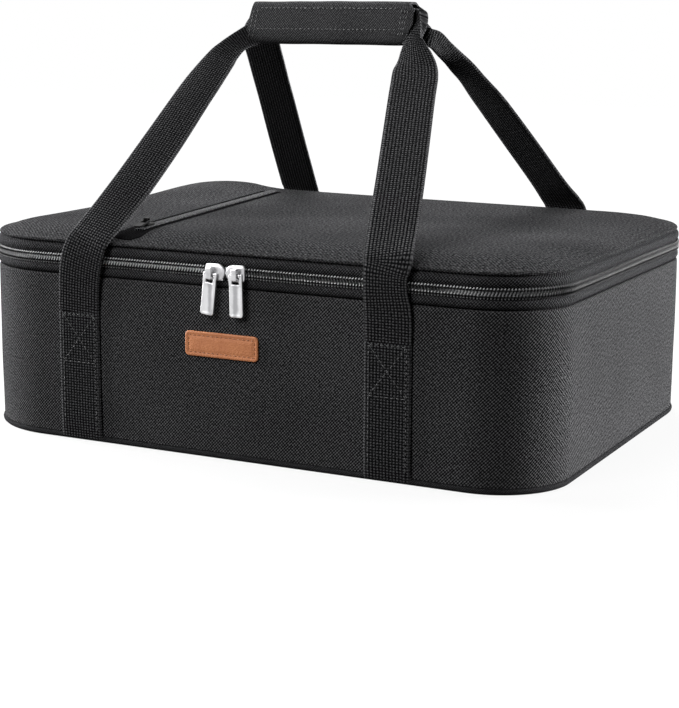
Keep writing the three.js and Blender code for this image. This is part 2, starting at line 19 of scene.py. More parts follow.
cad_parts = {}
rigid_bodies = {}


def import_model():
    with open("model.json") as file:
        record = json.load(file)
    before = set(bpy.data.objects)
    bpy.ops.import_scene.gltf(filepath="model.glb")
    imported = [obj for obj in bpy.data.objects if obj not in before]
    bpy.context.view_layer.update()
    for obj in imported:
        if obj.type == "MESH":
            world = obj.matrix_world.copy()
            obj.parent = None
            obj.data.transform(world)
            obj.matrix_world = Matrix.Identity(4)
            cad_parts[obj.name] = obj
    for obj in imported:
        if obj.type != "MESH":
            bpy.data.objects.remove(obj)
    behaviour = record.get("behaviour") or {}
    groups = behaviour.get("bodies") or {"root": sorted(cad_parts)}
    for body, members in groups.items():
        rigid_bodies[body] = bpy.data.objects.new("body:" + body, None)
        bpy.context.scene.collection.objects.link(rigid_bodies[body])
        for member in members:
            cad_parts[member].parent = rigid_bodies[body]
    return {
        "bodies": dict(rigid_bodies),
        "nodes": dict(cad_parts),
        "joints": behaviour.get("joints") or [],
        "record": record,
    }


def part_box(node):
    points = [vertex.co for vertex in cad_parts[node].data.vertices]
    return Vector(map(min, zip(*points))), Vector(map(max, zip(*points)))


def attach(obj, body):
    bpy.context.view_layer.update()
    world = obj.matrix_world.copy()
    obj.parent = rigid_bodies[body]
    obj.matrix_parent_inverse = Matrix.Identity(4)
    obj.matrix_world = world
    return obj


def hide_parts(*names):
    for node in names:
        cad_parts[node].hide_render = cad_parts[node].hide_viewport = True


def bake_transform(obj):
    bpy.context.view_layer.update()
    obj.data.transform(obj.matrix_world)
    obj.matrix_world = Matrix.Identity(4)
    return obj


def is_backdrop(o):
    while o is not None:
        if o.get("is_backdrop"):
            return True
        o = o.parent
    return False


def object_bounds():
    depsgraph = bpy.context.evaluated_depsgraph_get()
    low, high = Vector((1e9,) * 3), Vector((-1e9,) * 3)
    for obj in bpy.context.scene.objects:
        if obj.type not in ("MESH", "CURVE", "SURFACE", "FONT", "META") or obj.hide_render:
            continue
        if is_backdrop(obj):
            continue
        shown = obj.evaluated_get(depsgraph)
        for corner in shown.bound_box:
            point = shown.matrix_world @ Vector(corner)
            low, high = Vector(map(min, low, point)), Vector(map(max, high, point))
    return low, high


log = logging.getLogger("carrier")

MM = 0.001
WHITE = (1.0, 1.0, 1.0, 1.0)
UP = Vector((0.0, 0.0, 1.0))

Piece = bpy.types.Object
Material = bpy.types.Material
Pair = tuple[float, float]
Triple = tuple[float, float, float]
Colour = Triple
Line = list[Pair]
Place = Callable[[int, int], Vector]
Mark = Callable[[int, int], Pair]
Move = Callable[[Vector, Vector, float], Vector]
Ridden = tuple[Piece, "Body"]


class Body(Enum):
    """The CAD bodies that pieces ride on."""

    BOX = "box"
    LID = "lid"
    FRONT_HANDLE = "front_handle"
    BACK_HANDLE = "back_handle"
    GRIP_FLAP = "grip_flap"
    LEFT_SLIDER = "left_slider"
    LEFT_PULL = "left_pull"
    RIGHT_SLIDER = "right_slider"
    RIGHT_PULL = "right_pull"
    POCKET_SLIDER = "pocket_slider"
    POCKET_PULL = "pocket_pull"


class Slot(Enum):
    """The record's material slots."""

    OUTER_FABRIC = "outer_fabric"
    WEBBING = "webbing"
    ZIP_TAPE = "zip_tape"
    ZIP_COIL = "zip_coil"
    FOAM = "foam"
    FOIL = "foil"
    BINDING = "binding"
    SLIDER_METAL = "slider_metal"
    BLACK_METAL = "black_metal"
    HOOK_TAPE = "hook_tape"
    LEATHER = "leather"


class Edge(Enum):
    """The angle in degrees past which an edge of a piece isn't shaded smooth."""

    CAST = 40
    FOLD = 50
    CLOTH = 60
    COIL = 70
    THREAD = 80


class Wire:
    """A shader value, whose arithmetic adds Math nodes to its graph."""

    def __init__(self, graph: Graph, socket: bpy.types.NodeSocket | None) -> None:
        """Hold the socket that gives the value."""
        self.graph = graph
        self.socket = socket

    def _math(self, operation: str, *values: Wire | float) -> Wire:
        """Add a Math node and return its value."""
        return self.graph.add("ShaderNodeMath", {"operation": operation}, dict(enumerate(values)))

    def __add__(self, other: Wire | float) -> Wire:
        """Add."""
        return self._math("ADD", self, other)

    __radd__ = __add__

    def __sub__(self, other: Wire | float) -> Wire:
        """Subtract."""
        return self._math("SUBTRACT", self, other)

    def __rsub__(self, other: float) -> Wire:
        """Subtract from a number."""
        return self._math("SUBTRACT", other, self)

    def __mul__(self, other: Wire | float) -> Wire:
        """Multiply."""
        return self._math("MULTIPLY", self, other)

    __rmul__ = __mul__

    def __pow__(self, power: float) -> Wire:
        """Raise to a power."""
        return self._math("POWER", self, power)

    def sine(self) -> Wire:
        """Return the sine of a value in radians."""
        return self._math("SINE", self)

    def size(self) -> Wire:
        """Return the value without its sign."""
        return self._math("ABSOLUTE", self)

    def larger(self, other: Wire | float) -> Wire:
        """Return the larger of two values."""
        return self._math("MAXIMUM", self, other)

    def between(self, low: float, high: float) -> Wire:
        """Return 0 below low, 1 above high and a smooth rise between them."""
        inputs = {"Value": self, "From Min": low, "From Max": high}
        return self.graph.add("ShaderNodeMapRange", {"interpolation_type": "SMOOTHSTEP"}, inputs)


class Graph:
    """The node tree of one material, or of the surroundings."""

    def __init__(self, owner: Material | bpy.types.World) -> None:
        """Start an empty node tree."""
        owner.use_nodes = True
        self.owner = owner
        self.tree = owner.node_tree
        self.tree.nodes.clear()

    def add(self, kind: str, settings: dict, inputs: dict, output: int | str = 0) -> Wire:
        """Add a node.

        Args:
            kind: The node's type.
            settings: Attributes that are set first.
            inputs: Socket names or numbers, with a Wire, number or vector for each.
            output: The socket to return.

        Returns:
            The chosen output, empty for a node that has none.
        """
        node = self.tree.nodes.new(kind)
        for key, value in settings.items():
            setattr(node, key, value)
        for key, value in inputs.items():
            if isinstance(value, Wire):
                self.tree.links.new(value.socket, node.inputs[key])
            else:
                node.inputs[key].default_value = value
        return Wire(self, node.outputs[output] if node.outputs else None)

    def axis(self, vector: Wire, letter: str) -> Wire:
        """Return one coordinate of a vector."""
        return self.add("ShaderNodeSeparateXYZ", {}, {0: vector}, letter)

    def cloth(self) -> tuple[Wire, Wire, Wire]:
        """Return the piece's own cloth coordinates in metres: the pair, across and along."""
        pair = self.add("ShaderNodeUVMap", {"uv_map": Form.CLOTH}, {})
        return pair, self.axis(pair, "X"), self.axis(pair, "Y")

    def place(self) -> Wire:
        """Return object coordinates."""
        return self.add("ShaderNodeTexCoord", {}, {}, "Object")

    def noise(self, vector: Wire, scale: float, detail: float = 2.0, roughness: float = 0.5) -> Wire:
        """Return a noise between 0 and 1."""
        inputs = {"Vector": vector, "Scale": scale, "Detail": detail, "Roughness": roughness}
        return self.add("ShaderNodeTexNoise", {}, inputs)

    def cells(self, vector: Wire, scale: float, feature: str = "F1") -> Wire:
        """Return the distance pattern of random cells."""
        return self.add("ShaderNodeTexVoronoi", {"feature": feature}, {"Vector": vector, "Scale": scale})

    def mix(self, share: Wire, first: Wire | Colour, second: Wire | Colour) -> Wire:
        """Return a colour between two."""
        shown = [(*c, 1.0) if isinstance(c, tuple) else c for c in (first, second)]
        inputs = {0: share, 6: shown[0], 7: shown[1]}
        return self.add("ShaderNodeMix", {"data_type": "RGBA"}, inputs, 2)

    def bump(self, height: Wire, distance: float, strength: float = 1.0) -> Wire:
        """Return a normal tipped by a height pattern."""
        inputs = {"Height": height, "Distance": distance, "Strength": strength}
        return self.add("ShaderNodeBump", {}, inputs)

    def surface(
        self, colour: Wire, roughness: Wire | float, normal: Wire, constants: dict[str, float] | None = None
    ) -> Material:
        """Close the graph with a Principled shader.

        Args:
            colour: Base colour.
            roughness: Roughness, varying or not.
            normal: Bumped normal.
            constants: Other sockets and the numbers they hold.

        Returns:
            The finished material.
        """
        inputs = {"Base Color": colour, "Roughness": roughness, "Normal": normal, **(constants or {})}
        shader = self.add("ShaderNodeBsdfPrincipled", {}, inputs)
        self.add("ShaderNodeOutputMaterial", {}, {"Surface": shader})
        return self.owner


@dataclass(frozen=True)
class Finish:
    """A named finish, made into a material once."""

    name: str

    def material(self) -> Material:
        """Return the finish's material, made on first use."""
        return bpy.data.materials.get(self.name) or self.make(Graph(bpy.data.materials.new(self.name)))

    def make(self, graph: Graph) -> Material:
        """Build the material in a new graph."""
        raise NotImplementedError


MATT = {"Specular IOR Level": 0.0}
SATIN = {"Specular IOR Level": 0.1}


def grey(level: float, blue: float) -> Colour:
    """Return a grey with its own share of blue."""
    return level, level, blue


@dataclass(frozen=True)
class Twill(Finish):
    """Coarse polyester with a diagonal weave."""

    colour: Colour = grey(0.006, 0.0064)
    glint: Colour = grey(0.11, 0.113)
    thread: float = 2.0 * MM
    rib: float = 0.34
    fuzz: float = 1.2
    drift: float = 0.25

    def make(self, graph: Graph) -> Material:
        """Weave broken diagonal ribs of uneven yarn, with a slow change of tone over the panel."""
        pair, across, along = graph.cloth()
        turn = math.tau / self.thread
        ribs = ((across - along) * turn).sine()
        breaks = ((across + along) * (0.8 * turn)).sine()
        yarn = graph.noise(pair, 1.3 / self.thread, 2, 0.6)
        tone = graph.noise(pair, 9, 2)
        weave = 0.5 + ribs * self.rib + breaks * (0.7 * self.rib)
        level = weave + (yarn - 0.5) * self.fuzz + (tone - 0.5) * self.drift
        colour = graph.mix(level.between(0.2, 1.05) ** 1.5, self.colour, self.glint)
        return graph.surface(colour, 0.8 + yarn * 0.15, graph.bump(level, 0.12 * MM), MATT)


@dataclass(frozen=True)
class Webbing(Finish):
    """Heavy woven strap with rows of raised yarn."""

    colour: Colour = grey(0.003, 0.0033)
    glint: Colour = grey(0.092, 0.095)
    rib: float = 2.2 * MM
    row: float = 1.8 * MM
    half_width: float = 15.75 * MM

    def make(self, graph: Graph) -> Material:
        """Weave alternate raised yarns, with a paler row along the two selvedges."""
        pair, across, along = graph.cloth()
        warp = (across * (math.tau / self.rib)).sine()
        weft = (along * (math.tau / self.row)).sine()
        yarn = graph.noise(pair, 800, 2, 0.6)
        edge = across.size().between(self.half_width - 2.2 * MM, self.half_width - 1.4 * MM)
        weave = (0.5 + warp * 0.5) * (0.5 + weft * 0.5)
        level = 0.34 + weave * 0.62 + (yarn - 0.5) * 1.0 + edge * 0.14
        colour = graph.mix(level.between(0.2, 1.05) ** 1.4, self.colour, self.glint)
        normal = graph.bump(weave * 0.5 + yarn * 0.3, 0.35 * MM)
        return graph.surface(colour, 0.75 + yarn * 0.2, normal, MATT)


@dataclass(frozen=True)
class Moulded(Finish):
    """Black plastic of the zip's coil, with painted highlights where its turns stand out."""

    colour: Colour = grey(0.006, 0.0065)
    glint: Colour = grey(0.75, 0.76)
    centre: float = 120.2 * MM
    pitch: float = 2.0476 * MM
    row_ends: Pair = (2.3 * MM, 2.9 * MM)
    row_heads: Pair = (0.9 * MM, 1.6 * MM)
    corner: Pair = (140 * MM, 160 * MM)
    sides: Pair = (150 * MM, 200 * MM)
    # Weights of the painted highlights: on the meeting heads, and the share taken off along the sides.
    heads: float = 1.1
    side_glint_dimming: float = 0.82

    def make(self, graph: Graph) -> Material:
        """Paint highlights on the ends of the turns and on the heads that meet in the middle, stronger on the
        upper row and weaker along the sides.
        """
        place = graph.place()
        off = graph.axis(place, "Z") - self.centre
        ends = off.size().between(*self.row_ends)
        aside = graph.axis(place, "X").size()
        turns = ((aside + graph.axis(place, "Y")) * (math.tau / self.pitch)).sine().between(-0.1, 0.5)
        spread = turns + (0.5 - turns) * aside.between(*self.corner)
        heads = spread * (1 - off.size().between(*self.row_heads))
        # Painted light from above: the upper row's highlights are brighter than the lower row's.
        upper = 0.8 + off.between(-2 * MM, 2 * MM) * 0.2
        uneven = graph.noise(place, 420, 2)
        # The painted highlights fade along the box's sides.
        shown = (0.6 + uneven * 0.8) * (1 - aside.between(*self.sides) * self.side_glint_dimming)
        colour = graph.mix((ends * upper + heads * self.heads) * shown, self.colour, self.glint)
        normal = graph.bump(uneven, 0.05 * MM)
        return graph.surface(colour, 0.4 + uneven * 0.12, normal, SATIN)


@dataclass(frozen=True)
class CastMetal(Finish):
    """Plated zinc casting with soft handling marks, and a darker band at a set distance each side of the
    middle.
    """

    colour: Colour
    dull: Colour
    roughness: float = 0.22
    metallic: float = 1.0
    specular: float = 0.5
    band_middle: float = 9.05 * MM
    band_depth: float = 0.0

    def make(self, graph: Graph) -> Material:
        """Cloud the plating and add fine scuffs."""
        place = graph.place()
        cloud = graph.noise(place, 130, 3)
        scuff = graph.noise(place, 1500, 2, 0.7)
        off = graph.axis(place, "X").size() - self.band_middle
        band = 1 - off.size().between(0.2 * MM, 2.6 * MM)
        share = cloud.between(0.35, 0.75) * 0.5 + band * self.band_depth
        colour = graph.mix(share.between(0.0, 1.0), self.colour, self.dull)
        constants = {"Metallic": self.metallic, "Specular IOR Level": self.specular}
        roughness = self.roughness + cloud * 0.14 + scuff * 0.06
        return graph.surface(colour, roughness, graph.bump(scuff, 0.02 * MM), constants)


@dataclass(frozen=True)
class Hide(Finish):
    """Tan leather with a fine pebbled grain."""

    colour: Colour = (0.395, 0.131, 0.0436)
    worn: Colour = (0.545, 0.208, 0.079)

    def make(self, graph: Graph) -> Material:
        """Pebble the surface and let the dye gather between the pebbles."""
        place = graph.place()
        pebbles = graph.cells(place, 1100)
        pores = graph.noise(place, 900, 3, 0.6)
        dye = graph.noise(place, 70, 3)
        level = dye * 0.7 + pores * 0.45 - pebbles * 0.2
        colour = graph.mix(level.between(0.3, 0.85), self.colour, self.worn)
        normal = graph.bump(pebbles * -0.6 + pores * 0.5, 0.16 * MM)
        return graph.surface(colour, 0.46 + pores * 0.22, normal)


@dataclass(frozen=True)
class Thread(Finish):
    """Twisted sewing thread."""

    colour: Colour = grey(0.008, 0.0085)
    glint: Colour = grey(0.05, 0.052)

    def make(self, graph: Graph) -> Material:
        """Streak the thread with its fibres."""
        fibres = graph.noise(graph.place(), 1800, 2, 0.7)
        colour = graph.mix(fibres.between(0.3, 0.75), self.colour, self.glint)
        return graph.surface(colour, 0.5 + fibres * 0.25, graph.bump(fibres, 0.08 * MM))


@dataclass(frozen=True)
class Foil(Finish):
    """Crinkled silver film that lines the box."""

    colour: Colour = (0.62, 0.63, 0.65)
    shade: Colour = (0.42, 0.43, 0.45)

    def make(self, graph: Graph) -> Material:
        """Crease the film into small flat facets."""
        place = graph.place()
        warp = graph.add("ShaderNodeTexNoise", {}, {"Vector": place, "Scale": 30.0, "Detail": 3.0}, "Color")
        add = {"operation": "MULTIPLY_ADD"}
        bent = graph.add("ShaderNodeVectorMath", add, {0: warp, 1: (0.02,) * 3, 2: place})
        facets = graph.cells(bent, 55, "DISTANCE_TO_EDGE")
        fine = graph.noise(bent, 240, 3, 0.6)
        colour = graph.mix(fine.between(0.3, 0.8), self.shade, self.colour)
        normal = graph.bump(facets.between(0.0, 0.12) + fine * 0.4, 0.5 * MM, 0.7)
        return graph.surface(colour, 0.26 + fine * 0.25, normal, {"Metallic": 0.85})


@dataclass(frozen=True)
class Foam(Finish):
    """Closed-cell white foam."""

    colour: Colour = (0.78, 0.77, 0.72)

    def make(self, graph: Graph) -> Material:
        """Pit the foam with its cells."""
        cells = graph.cells(graph.place(), 700)
        colour = graph.mix(cells.between(0.1, 0.7), tuple(0.85 * c for c in self.colour), self.colour)
        return graph.surface(colour, 0.85 + cells * 0.1, graph.bump(cells, 0.4 * MM))


@dataclass(frozen=True)
class Fuzz(Finish):
    """Hook-and-loop tape: a mat of tiny black loops."""

    colour: Colour = grey(0.006, 0.0065)
    glint: Colour = grey(0.04, 0.042)

    def make(self, graph: Graph) -> Material:
        """Scatter loops in rows over the tape."""
        place = graph.place()
        loops = graph.cells(place, 1300)
        tufts = graph.noise(place, 500, 4, 0.7)
        colour = graph.mix((tufts + loops * 0.5).between(0.4, 1.0), self.colour, self.glint)
        normal = graph.bump(loops + tufts, 0.6 * MM)
        return graph.surface(colour, 0.9 + loops * 0.1, normal, SATIN)


OUTER = Twill("outer twill")
LID_CLOTH = Twill("lid twill", rib=0.12)
GRIP_CLOTH = Twill("grip twill", grey(0.02, 0.021), grey(0.108, 0.111), 1.7 * MM, 0.3)
WELT = Twill("pocket welt", grey(0.012, 0.0125), grey(0.15, 0.153), 1.6 * MM)
# Near-black tape: painted shade for the grooves beside the pocket's welt.
POCKET_SHADED_TAPE = Twill("pocket tape", grey(0.002, 0.002), grey(0.014, 0.015), 1.3 * MM)
TAPE = Twill("zip tape", glint=grey(0.075, 0.078), thread=1.9 * MM)
BINDING = Twill("edge binding", glint=grey(0.05, 0.052), thread=1.3 * MM)
WEBBING = Webbing("strap webbing")
COIL = Moulded("zip coil")
PLATED = CastMetal("plated zinc", grey(0.58, 0.59), grey(0.28, 0.29))
PULL_PLATED = CastMetal("plated pull", grey(0.66, 0.67), grey(0.36, 0.37), band_depth=0.8)
BLACK_PLATED = CastMetal("black zinc", grey(0.007, 0.007), grey(0.003, 0.003), 0.55, 0.0, 0.03)
LEATHER = Hide("tan leather")
BLACK_THREAD = Thread("black thread")
GRIP_THREAD = Thread("grip thread", grey(0.04, 0.041), grey(0.15, 0.153))
TAN_THREAD = Thread("tan thread", (0.16, 0.055, 0.02), (0.3, 0.12, 0.05))
FOIL = Foil("silver foil")
FOAM = Foam("white foam")
FUZZ = Fuzz("hook and loop")


class Form:
    """A mesh in the making, with cloth coordinates in metres."""

    CLOTH = "cloth"

    def __init__(self) -> None:
        """Start an empty mesh with the marks that drawing needs."""
        self.mesh = bmesh.new()
        self.column = self.mesh.verts.layers.int.new("column")
        self.row = self.mesh.verts.layers.int.new("row")
        self.cloth = self.mesh.loops.layers.uv.new(self.CLOTH)

    def draw(self, columns: int, rows: int, place: Place, mark: Mark, is_loop: bool = False) -> Form:
        """Extrude a closed line of points row by row into a solid.

        Args:
            columns: Points in the line.
            rows: How many times the line is set down.
            place: Where the point of a column and a row goes.
            mark: Cloth coordinates of a column and a row.
            is_loop: Whether the last row joins the first, instead of both being capped.

        Returns:
            The same mesh.
        """
        known = len(self.mesh.faces)
        line = bmesh.ops.create_circle(self.mesh, cap_ends=False, radius=1.0, segments=columns)["verts"]
        edges = self._number(line)
        first = edges
        for row in range(rows):
            if row:
                made = bmesh.ops.extrude_edge_only(self.mesh, edges=edges)["geom"]
                line = [item for item in made if isinstance(item, bmesh.types.BMVert)]
                fresh = set(line)
                edges = [e for e in made if isinstance(e, bmesh.types.BMEdge) and fresh.issuperset(e.verts)]
            for vert in line:
                vert[self.row] = row
                vert.co = place(vert[self.column], row)
        if is_loop:
            bmesh.ops.bridge_loops(self.mesh, edges=first + edges)
        else:
            bmesh.ops.edgeloop_fill(self.mesh, edges=first)
            bmesh.ops.edgeloop_fill(self.mesh, edges=edges)
        self.mesh.faces.ensure_lookup_table()
        for face in self.mesh.faces[known:]:
            self._lay_cloth(face, columns, rows, mark)
        return self

    def _number(self, line: list[bmesh.types.BMVert]) -> list[bmesh.types.BMEdge]:
        """Number the points round a closed line and return its edges in order."""
        edges = []
        vert = line[0]
        edge = vert.link_edges[0]
        for number in range(len(line)):
            vert[self.column] = number
            edges.append(edge)
            vert = edge.other_vert(vert)
            edge = next(e for e in vert.link_edges if e is not edge)
        return edges

    def _lay_cloth(self, face: bmesh.types.BMFace, columns: int, rows: int, mark: Mark) -> None:
        """Write a face's cloth coordinates, counted on past the seam where it crosses one."""
        across = {loop.vert[self.column] for loop in face.loops}
        down = {loop.vert[self.row] for loop in face.loops}
        is_strip = len(face.loops) == 4
        wraps_columns = is_strip and 0 in across and columns - 1 in across and columns > 2
        wraps_rows = is_strip and 0 in down and rows - 1 in down and rows > 2
        for loop in face.loops:
            column = loop.vert[self.column] or (columns if wraps_columns else 0)
            row = loop.vert[self.row] or (rows if wraps_rows else 0)
            loop[self.cloth].uv = mark(column, row)

    def beads(self, frames: Sequence[Matrix], sides: int = 8, rings: int = 6) -> None:
        """Add rounded beads: balls of unit diameter, each shaped and placed by a matrix."""
        ball = bmesh.new()
        bmesh.ops.create_uvsphere(ball, u_segments=sides, v_segments=rings, radius=0.5)
        mould = bpy.data.meshes.new("bead")
        ball.to_mesh(mould)
        ball.free()
        for frame in frames:
            cast = mould.copy()
            cast.transform(frame)
            self.mesh.from_mesh(cast)
            bpy.data.meshes.remove(cast)
        bpy.data.meshes.remove(mould)

    def block(self, low: Vector, high: Vector, round_by: float, turn: Matrix = Matrix()) -> None:
        """Add a box with rounded edges.

        Args:
            low: Lowest corner.
            high: Highest corner.
            round_by: Width of the rounding.
            turn: Moves the finished box to its place.
        """
        frame = Matrix.Translation((low + high) / 2) @ Matrix.Diagonal((*(high - low), 1.0))
        verts = bmesh.ops.create_cube(self.mesh, size=1.0, matrix=frame)["verts"]
        edges = list({edge for vert in verts for edge in vert.link_edges})
        made = bmesh.ops.bevel(
            self.mesh,
            geom=edges,
            offset=round_by,
            offset_type="OFFSET",
            segments=3,
            profile=0.5,
            affect="EDGES",
            material=-1,
        )
        bmesh.ops.transform(self.mesh, matrix=turn, verts=made["verts"])

    def plate(
        self,
        low: Sequence[float],
        high: Sequence[float],
        radii: Sequence[float],
        levels: Sequence[Pair],
        frame: Matrix,
        sink: float = 0.0,
    ) -> None:
        """Build a plate from rounded outlines laid on each other.

        Args:
            low: Lowest corner of the plate's outline.
            high: Its highest corner.
            radii: Radius at each corner, in the order of plate_outline.
            levels: Inset and height of each outline in millimetres, from the back of the plate to its face.
            frame: Turns an outline's two coordinates and a height into a place.
            sink: What is taken off every height.
        """
        lines = [plate_outline(low, high, radii, inset * MM) for inset, _ in levels]

        def place(column: int, row: int) -> Vector:
            return frame @ Vector((*lines[row][column], levels[row][1] * MM - sink))

        def mark(column: int, row: int) -> Pair:
            return lines[row][column % len(lines[row])]

        self.draw(len(lines[0]), len(levels), place, mark)

    def dress(
        self, name: str, finish: Finish, slot: Slot, *stands_for: str, sharp: Edge = Edge.CLOTH
    ) -> Piece:
        """Turn the mesh into a finished object.

        Args:
            name: The piece's name.
            finish: Its finish.
            slot: The record's slot for it; not used.
            *stands_for: CAD nodes that it replaces.
            sharp: Which of its edges aren't shaded smooth.

        Returns:
            The new object, which rides on nothing yet.
        """
        bmesh.ops.recalc_face_normals(self.mesh, faces=self.mesh.faces)
        for face in self.mesh.faces:
            face.smooth = True
        data = bpy.data.meshes.new(name)
        self.mesh.to_mesh(data)
        self.mesh.free()
        data.set_sharp_from_angle(angle=math.radians(sharp.value))
        data.materials.append(finish.material())
        piece = added(name, data)
        if stands_for:
            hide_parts(*stands_for)
        log.info("%s: %d faces", name, len(data.polygons))
        return piece


def added(name: str, data: bpy.types.ID) -> Piece:
    """Add an object with its data to the scene."""
    thing = bpy.data.objects.new(name, data)
    bpy.context.scene.collection.objects.link(thing)
    return thing


def clamp(share: float) -> float:
    """Return a share held between 0 and 1."""
    return min(max(share, 0.0), 1.0)


def axes(right: Vector, ahead: Vector, up: Vector) -> Matrix:
    """Return the turn from the frame's axes to three others."""
    return Matrix((right, ahead, up)).transposed().to_4x4()


def headings(points: Sequence[Vector]) -> list[Vector]:
    """Return which way a line goes at each of its points."""
    last = len(points) - 1
    return [(points[min(i + 1, last)] - points[max(i - 1, 0)]).normalized() for i in range(last + 1)]


def ripple(point: Vector, wavelength: float, depth: float, seed: float = 0.0) -> float:
    """Return a smooth uneven height at a point, the same on every run."""
    return depth * noise.noise(point / wavelength + Vector((seed, 1.7 * seed, -0.6 * seed)))


def rounded(points: Sequence[Vector], radius: float, steps: int = 5) -> list[Vector]:
    """Round the corners of a line of points.

    Args:
        points: The line's corners.
        radius: How far from a corner the rounding starts.
        steps: Points on each rounding.

    Returns:
        The line with a curve in place of each inner corner.
    """
    line = [points[0].copy()]
    for before, corner, after in zip(points, points[1:], points[2:]):
        start = corner + (before - corner).normalized() * radius
        end = corner + (after - corner).normalized() * radius
        for i in range(steps + 1):
            t = i / steps
            line.append(start * (1 - t) ** 2 + corner * (2 * t * (1 - t)) + end * t**2)
    line.append(points[-1].copy())
    return line


def lengths(points: Sequence[Vector]) -> list[float]:
    """Return the distance along a line at each of its points."""
    found = [0.0]
    for before, after in zip(points, points[1:]):
        found.append(found[-1] + (after - before).length)
    return found


def flat_lengths(line: Iterable[Pair]) -> list[float]:
    """Return the distance along a line of insets and heights at each of its points."""
    return lengths([Vector((*point, 0)) for point in line])


@dataclass(frozen=True)
class BoxPlan:
    """The rounded rectangle that the walls stand on, from the middle of its back round by the left."""

    half_length: float
    half_depth: float
    radius: float
    front_right: float

    def runs(self) -> list[tuple[float, Vector, float, float]]:
        """Return each straight or corner: its length, start or centre, starting angle, and radius or 0."""
        long, deep, most, least = self.half_length, self.half_depth, self.radius, self.front_right
        quarter = math.pi / 2
        return [
            (long - most, Vector((0, deep, 0)), 90, 0.0),
            (most * quarter, Vector((most - long, deep - most, 0)), 90, most),
            (2 * (deep - most), Vector((-long, deep - most, 0)), 180, 0.0),
            (most * quarter, Vector((most - long, most - deep, 0)), 180, most),
            (2 * long - most - least, Vector((most - long, -deep, 0)), 270, 0.0),
            (least * quarter, Vector((long - least, least - deep, 0)), 270, least),
            (2 * deep - most - least, Vector((long, least - deep, 0)), 0, 0.0),
            (most * quarter, Vector((long - most, deep - most, 0)), 0, most),
            (long - most, Vector((long - most, deep, 0)), 90, 0.0),
        ]

    def girth(self) -> float:
        """Return the length all the way round."""
        return sum(run[0] for run in self.runs())

    def hinge_ends(self, angle: float) -> Pair:
        """Return the lengths round the plan to an angle in degrees into the left and right back corner."""
        reach = self.half_length - self.radius + math.radians(angle) * self.radius
        return reach, self.girth() - reach

    def area(self, inset: float) -> float:
        """Return the floor inside an inset from the outer face."""
        cut = (1 - math.pi / 4) * (3 * (self.radius - inset) ** 2 + (self.front_right - inset) ** 2)
        return 4 * (self.half_length - inset) * (self.half_depth - inset) - cut

    def at(self, length: float) -> tuple[Vector, Vector]:
        """Return the point of the outer face at a length round the plan, and the outward normal there."""
        rest = length % self.girth()
        for run, start, angle, radius in self.runs():
            if rest <= run:
                break
            rest -= run
        turn = math.radians(angle) + (rest / radius if radius else 0.0)
        normal = Vector((math.cos(turn), math.sin(turn), 0))
        if radius:
            return start + normal * radius, normal
        return start + UP.cross(normal) * rest, normal

    def within(self, length: float, inset: float, height: float) -> Vector:
        """Return a point at an inset from the outer face. Past the corners the plan shrinks evenly."""
        reach = min(self.radius, self.front_right) - 6 * MM
        point, normal = self.at(length)
        inner = point - normal * min(inset, reach)
        share = 1 - max(inset - reach, 0) / (self.half_depth - reach)
        return Vector((inner.x * share, inner.y * share, height))

    def rings(
        self,
        count: int,
        rows: Line,
        move: Move | None = None,
        mark: Mark | None = None,
        is_loop: bool = False,
    ) -> Form:
        """Draw closed rings round the plan.

        Args:
            count: Steps round the plan.
            rows: Inset and height of each ring.
            move: How a point moves from there, given the point, the outward normal and the inset.
            mark: Cloth coordinates of a step and a row. Left out, they run round and along a loop of rings,
                and lie flat as seen from above on a closed piece.
            is_loop: Whether the last ring joins the first, instead of both being capped.

        Returns:
            The new mesh.
        """
        step = self.girth() / count
        down = flat_lengths([*rows, rows[0]])

        def place(column: int, row: int) -> Vector:
            inset, height = rows[row]
            point = self.within(column * step, inset, height)
            return point + move(point, self.at(column * step)[1], inset) if move else point

        def round_about(column: int, row: int) -> Pair:
            return column * step, down[row]

        def from_above(column: int, row: int) -> Pair:
            return tuple(place(column, row).xy)

        return Form().draw(count, len(rows), place, mark or (round_about if is_loop else from_above), is_loop)


def arc(centre: Pair, radius: float, start: float, end: float, steps: int) -> Line:
    """Return points on an arc between two angles in degrees."""
    angles = [math.radians(start + (end - start) * i / steps) for i in range(steps + 1)]
    return [(centre[0] + radius * math.cos(a), centre[1] + radius * math.sin(a)) for a in angles]


def ease(share: float) -> float:
    """Return a smooth rise from 0 to 1, level past both ends."""
    t = clamp(share)
    return t * t * (3 - 2 * t)


def plate_outline(low: Sequence[float], high: Sequence[float], radii: Sequence[float], inset: float) -> Line:
    """Return a rectangle's outline with its own radius at each corner.

    Args:
        low: Lowest corner.
        high: Highest corner.
        radii: Radius at the upper right, upper left, lower left and lower right.
        inset: How far inside the rectangle the outline is.

    Returns:
        Points from the upper right corner round by the left.
    """
    (left, foot), (right, top) = low, high
    ends = ((right, top, 1, 1), (left, top, -1, 1), (left, foot, -1, -1), (right, foot, 1, -1))
    line: Line = []
    for number, (x, y, sx, sy) in enumerate(ends):
        radius = max(radii[number] - inset, 0.3 * MM)
        centre = (x - sx * (inset + radius), y - sy * (inset + radius))
        line += arc(centre, radius, 90 * number, 90 * number + 90, 6)
    return line


class Held(Enum):
    """How a sheet of cloth is held."""

    STRETCHED = "stretched"
    LAID = "laid"
    HUNG = "hung"
    FOLDED = "folded"


@dataclass(frozen=True)
class Cut:
    """The flat piece that a sheet was cut to, and how it is held."""

    width: float
    length: float
    held: Held
    rests_on: str
    area: float | None = None

    def declare(self, piece: Piece) -> Piece:
        """Log the piece's cut and how it is held, and return the piece."""
        flat = (self.width, self.length)
        log.info("%s: cut %.0f by %.0f mm, %s", piece.name, flat[0] / MM, flat[1] / MM, self.held.value)
        return piece


def stuffed(piece: Piece) -> Piece:
    """Return a piece of foam unchanged."""
    return piece


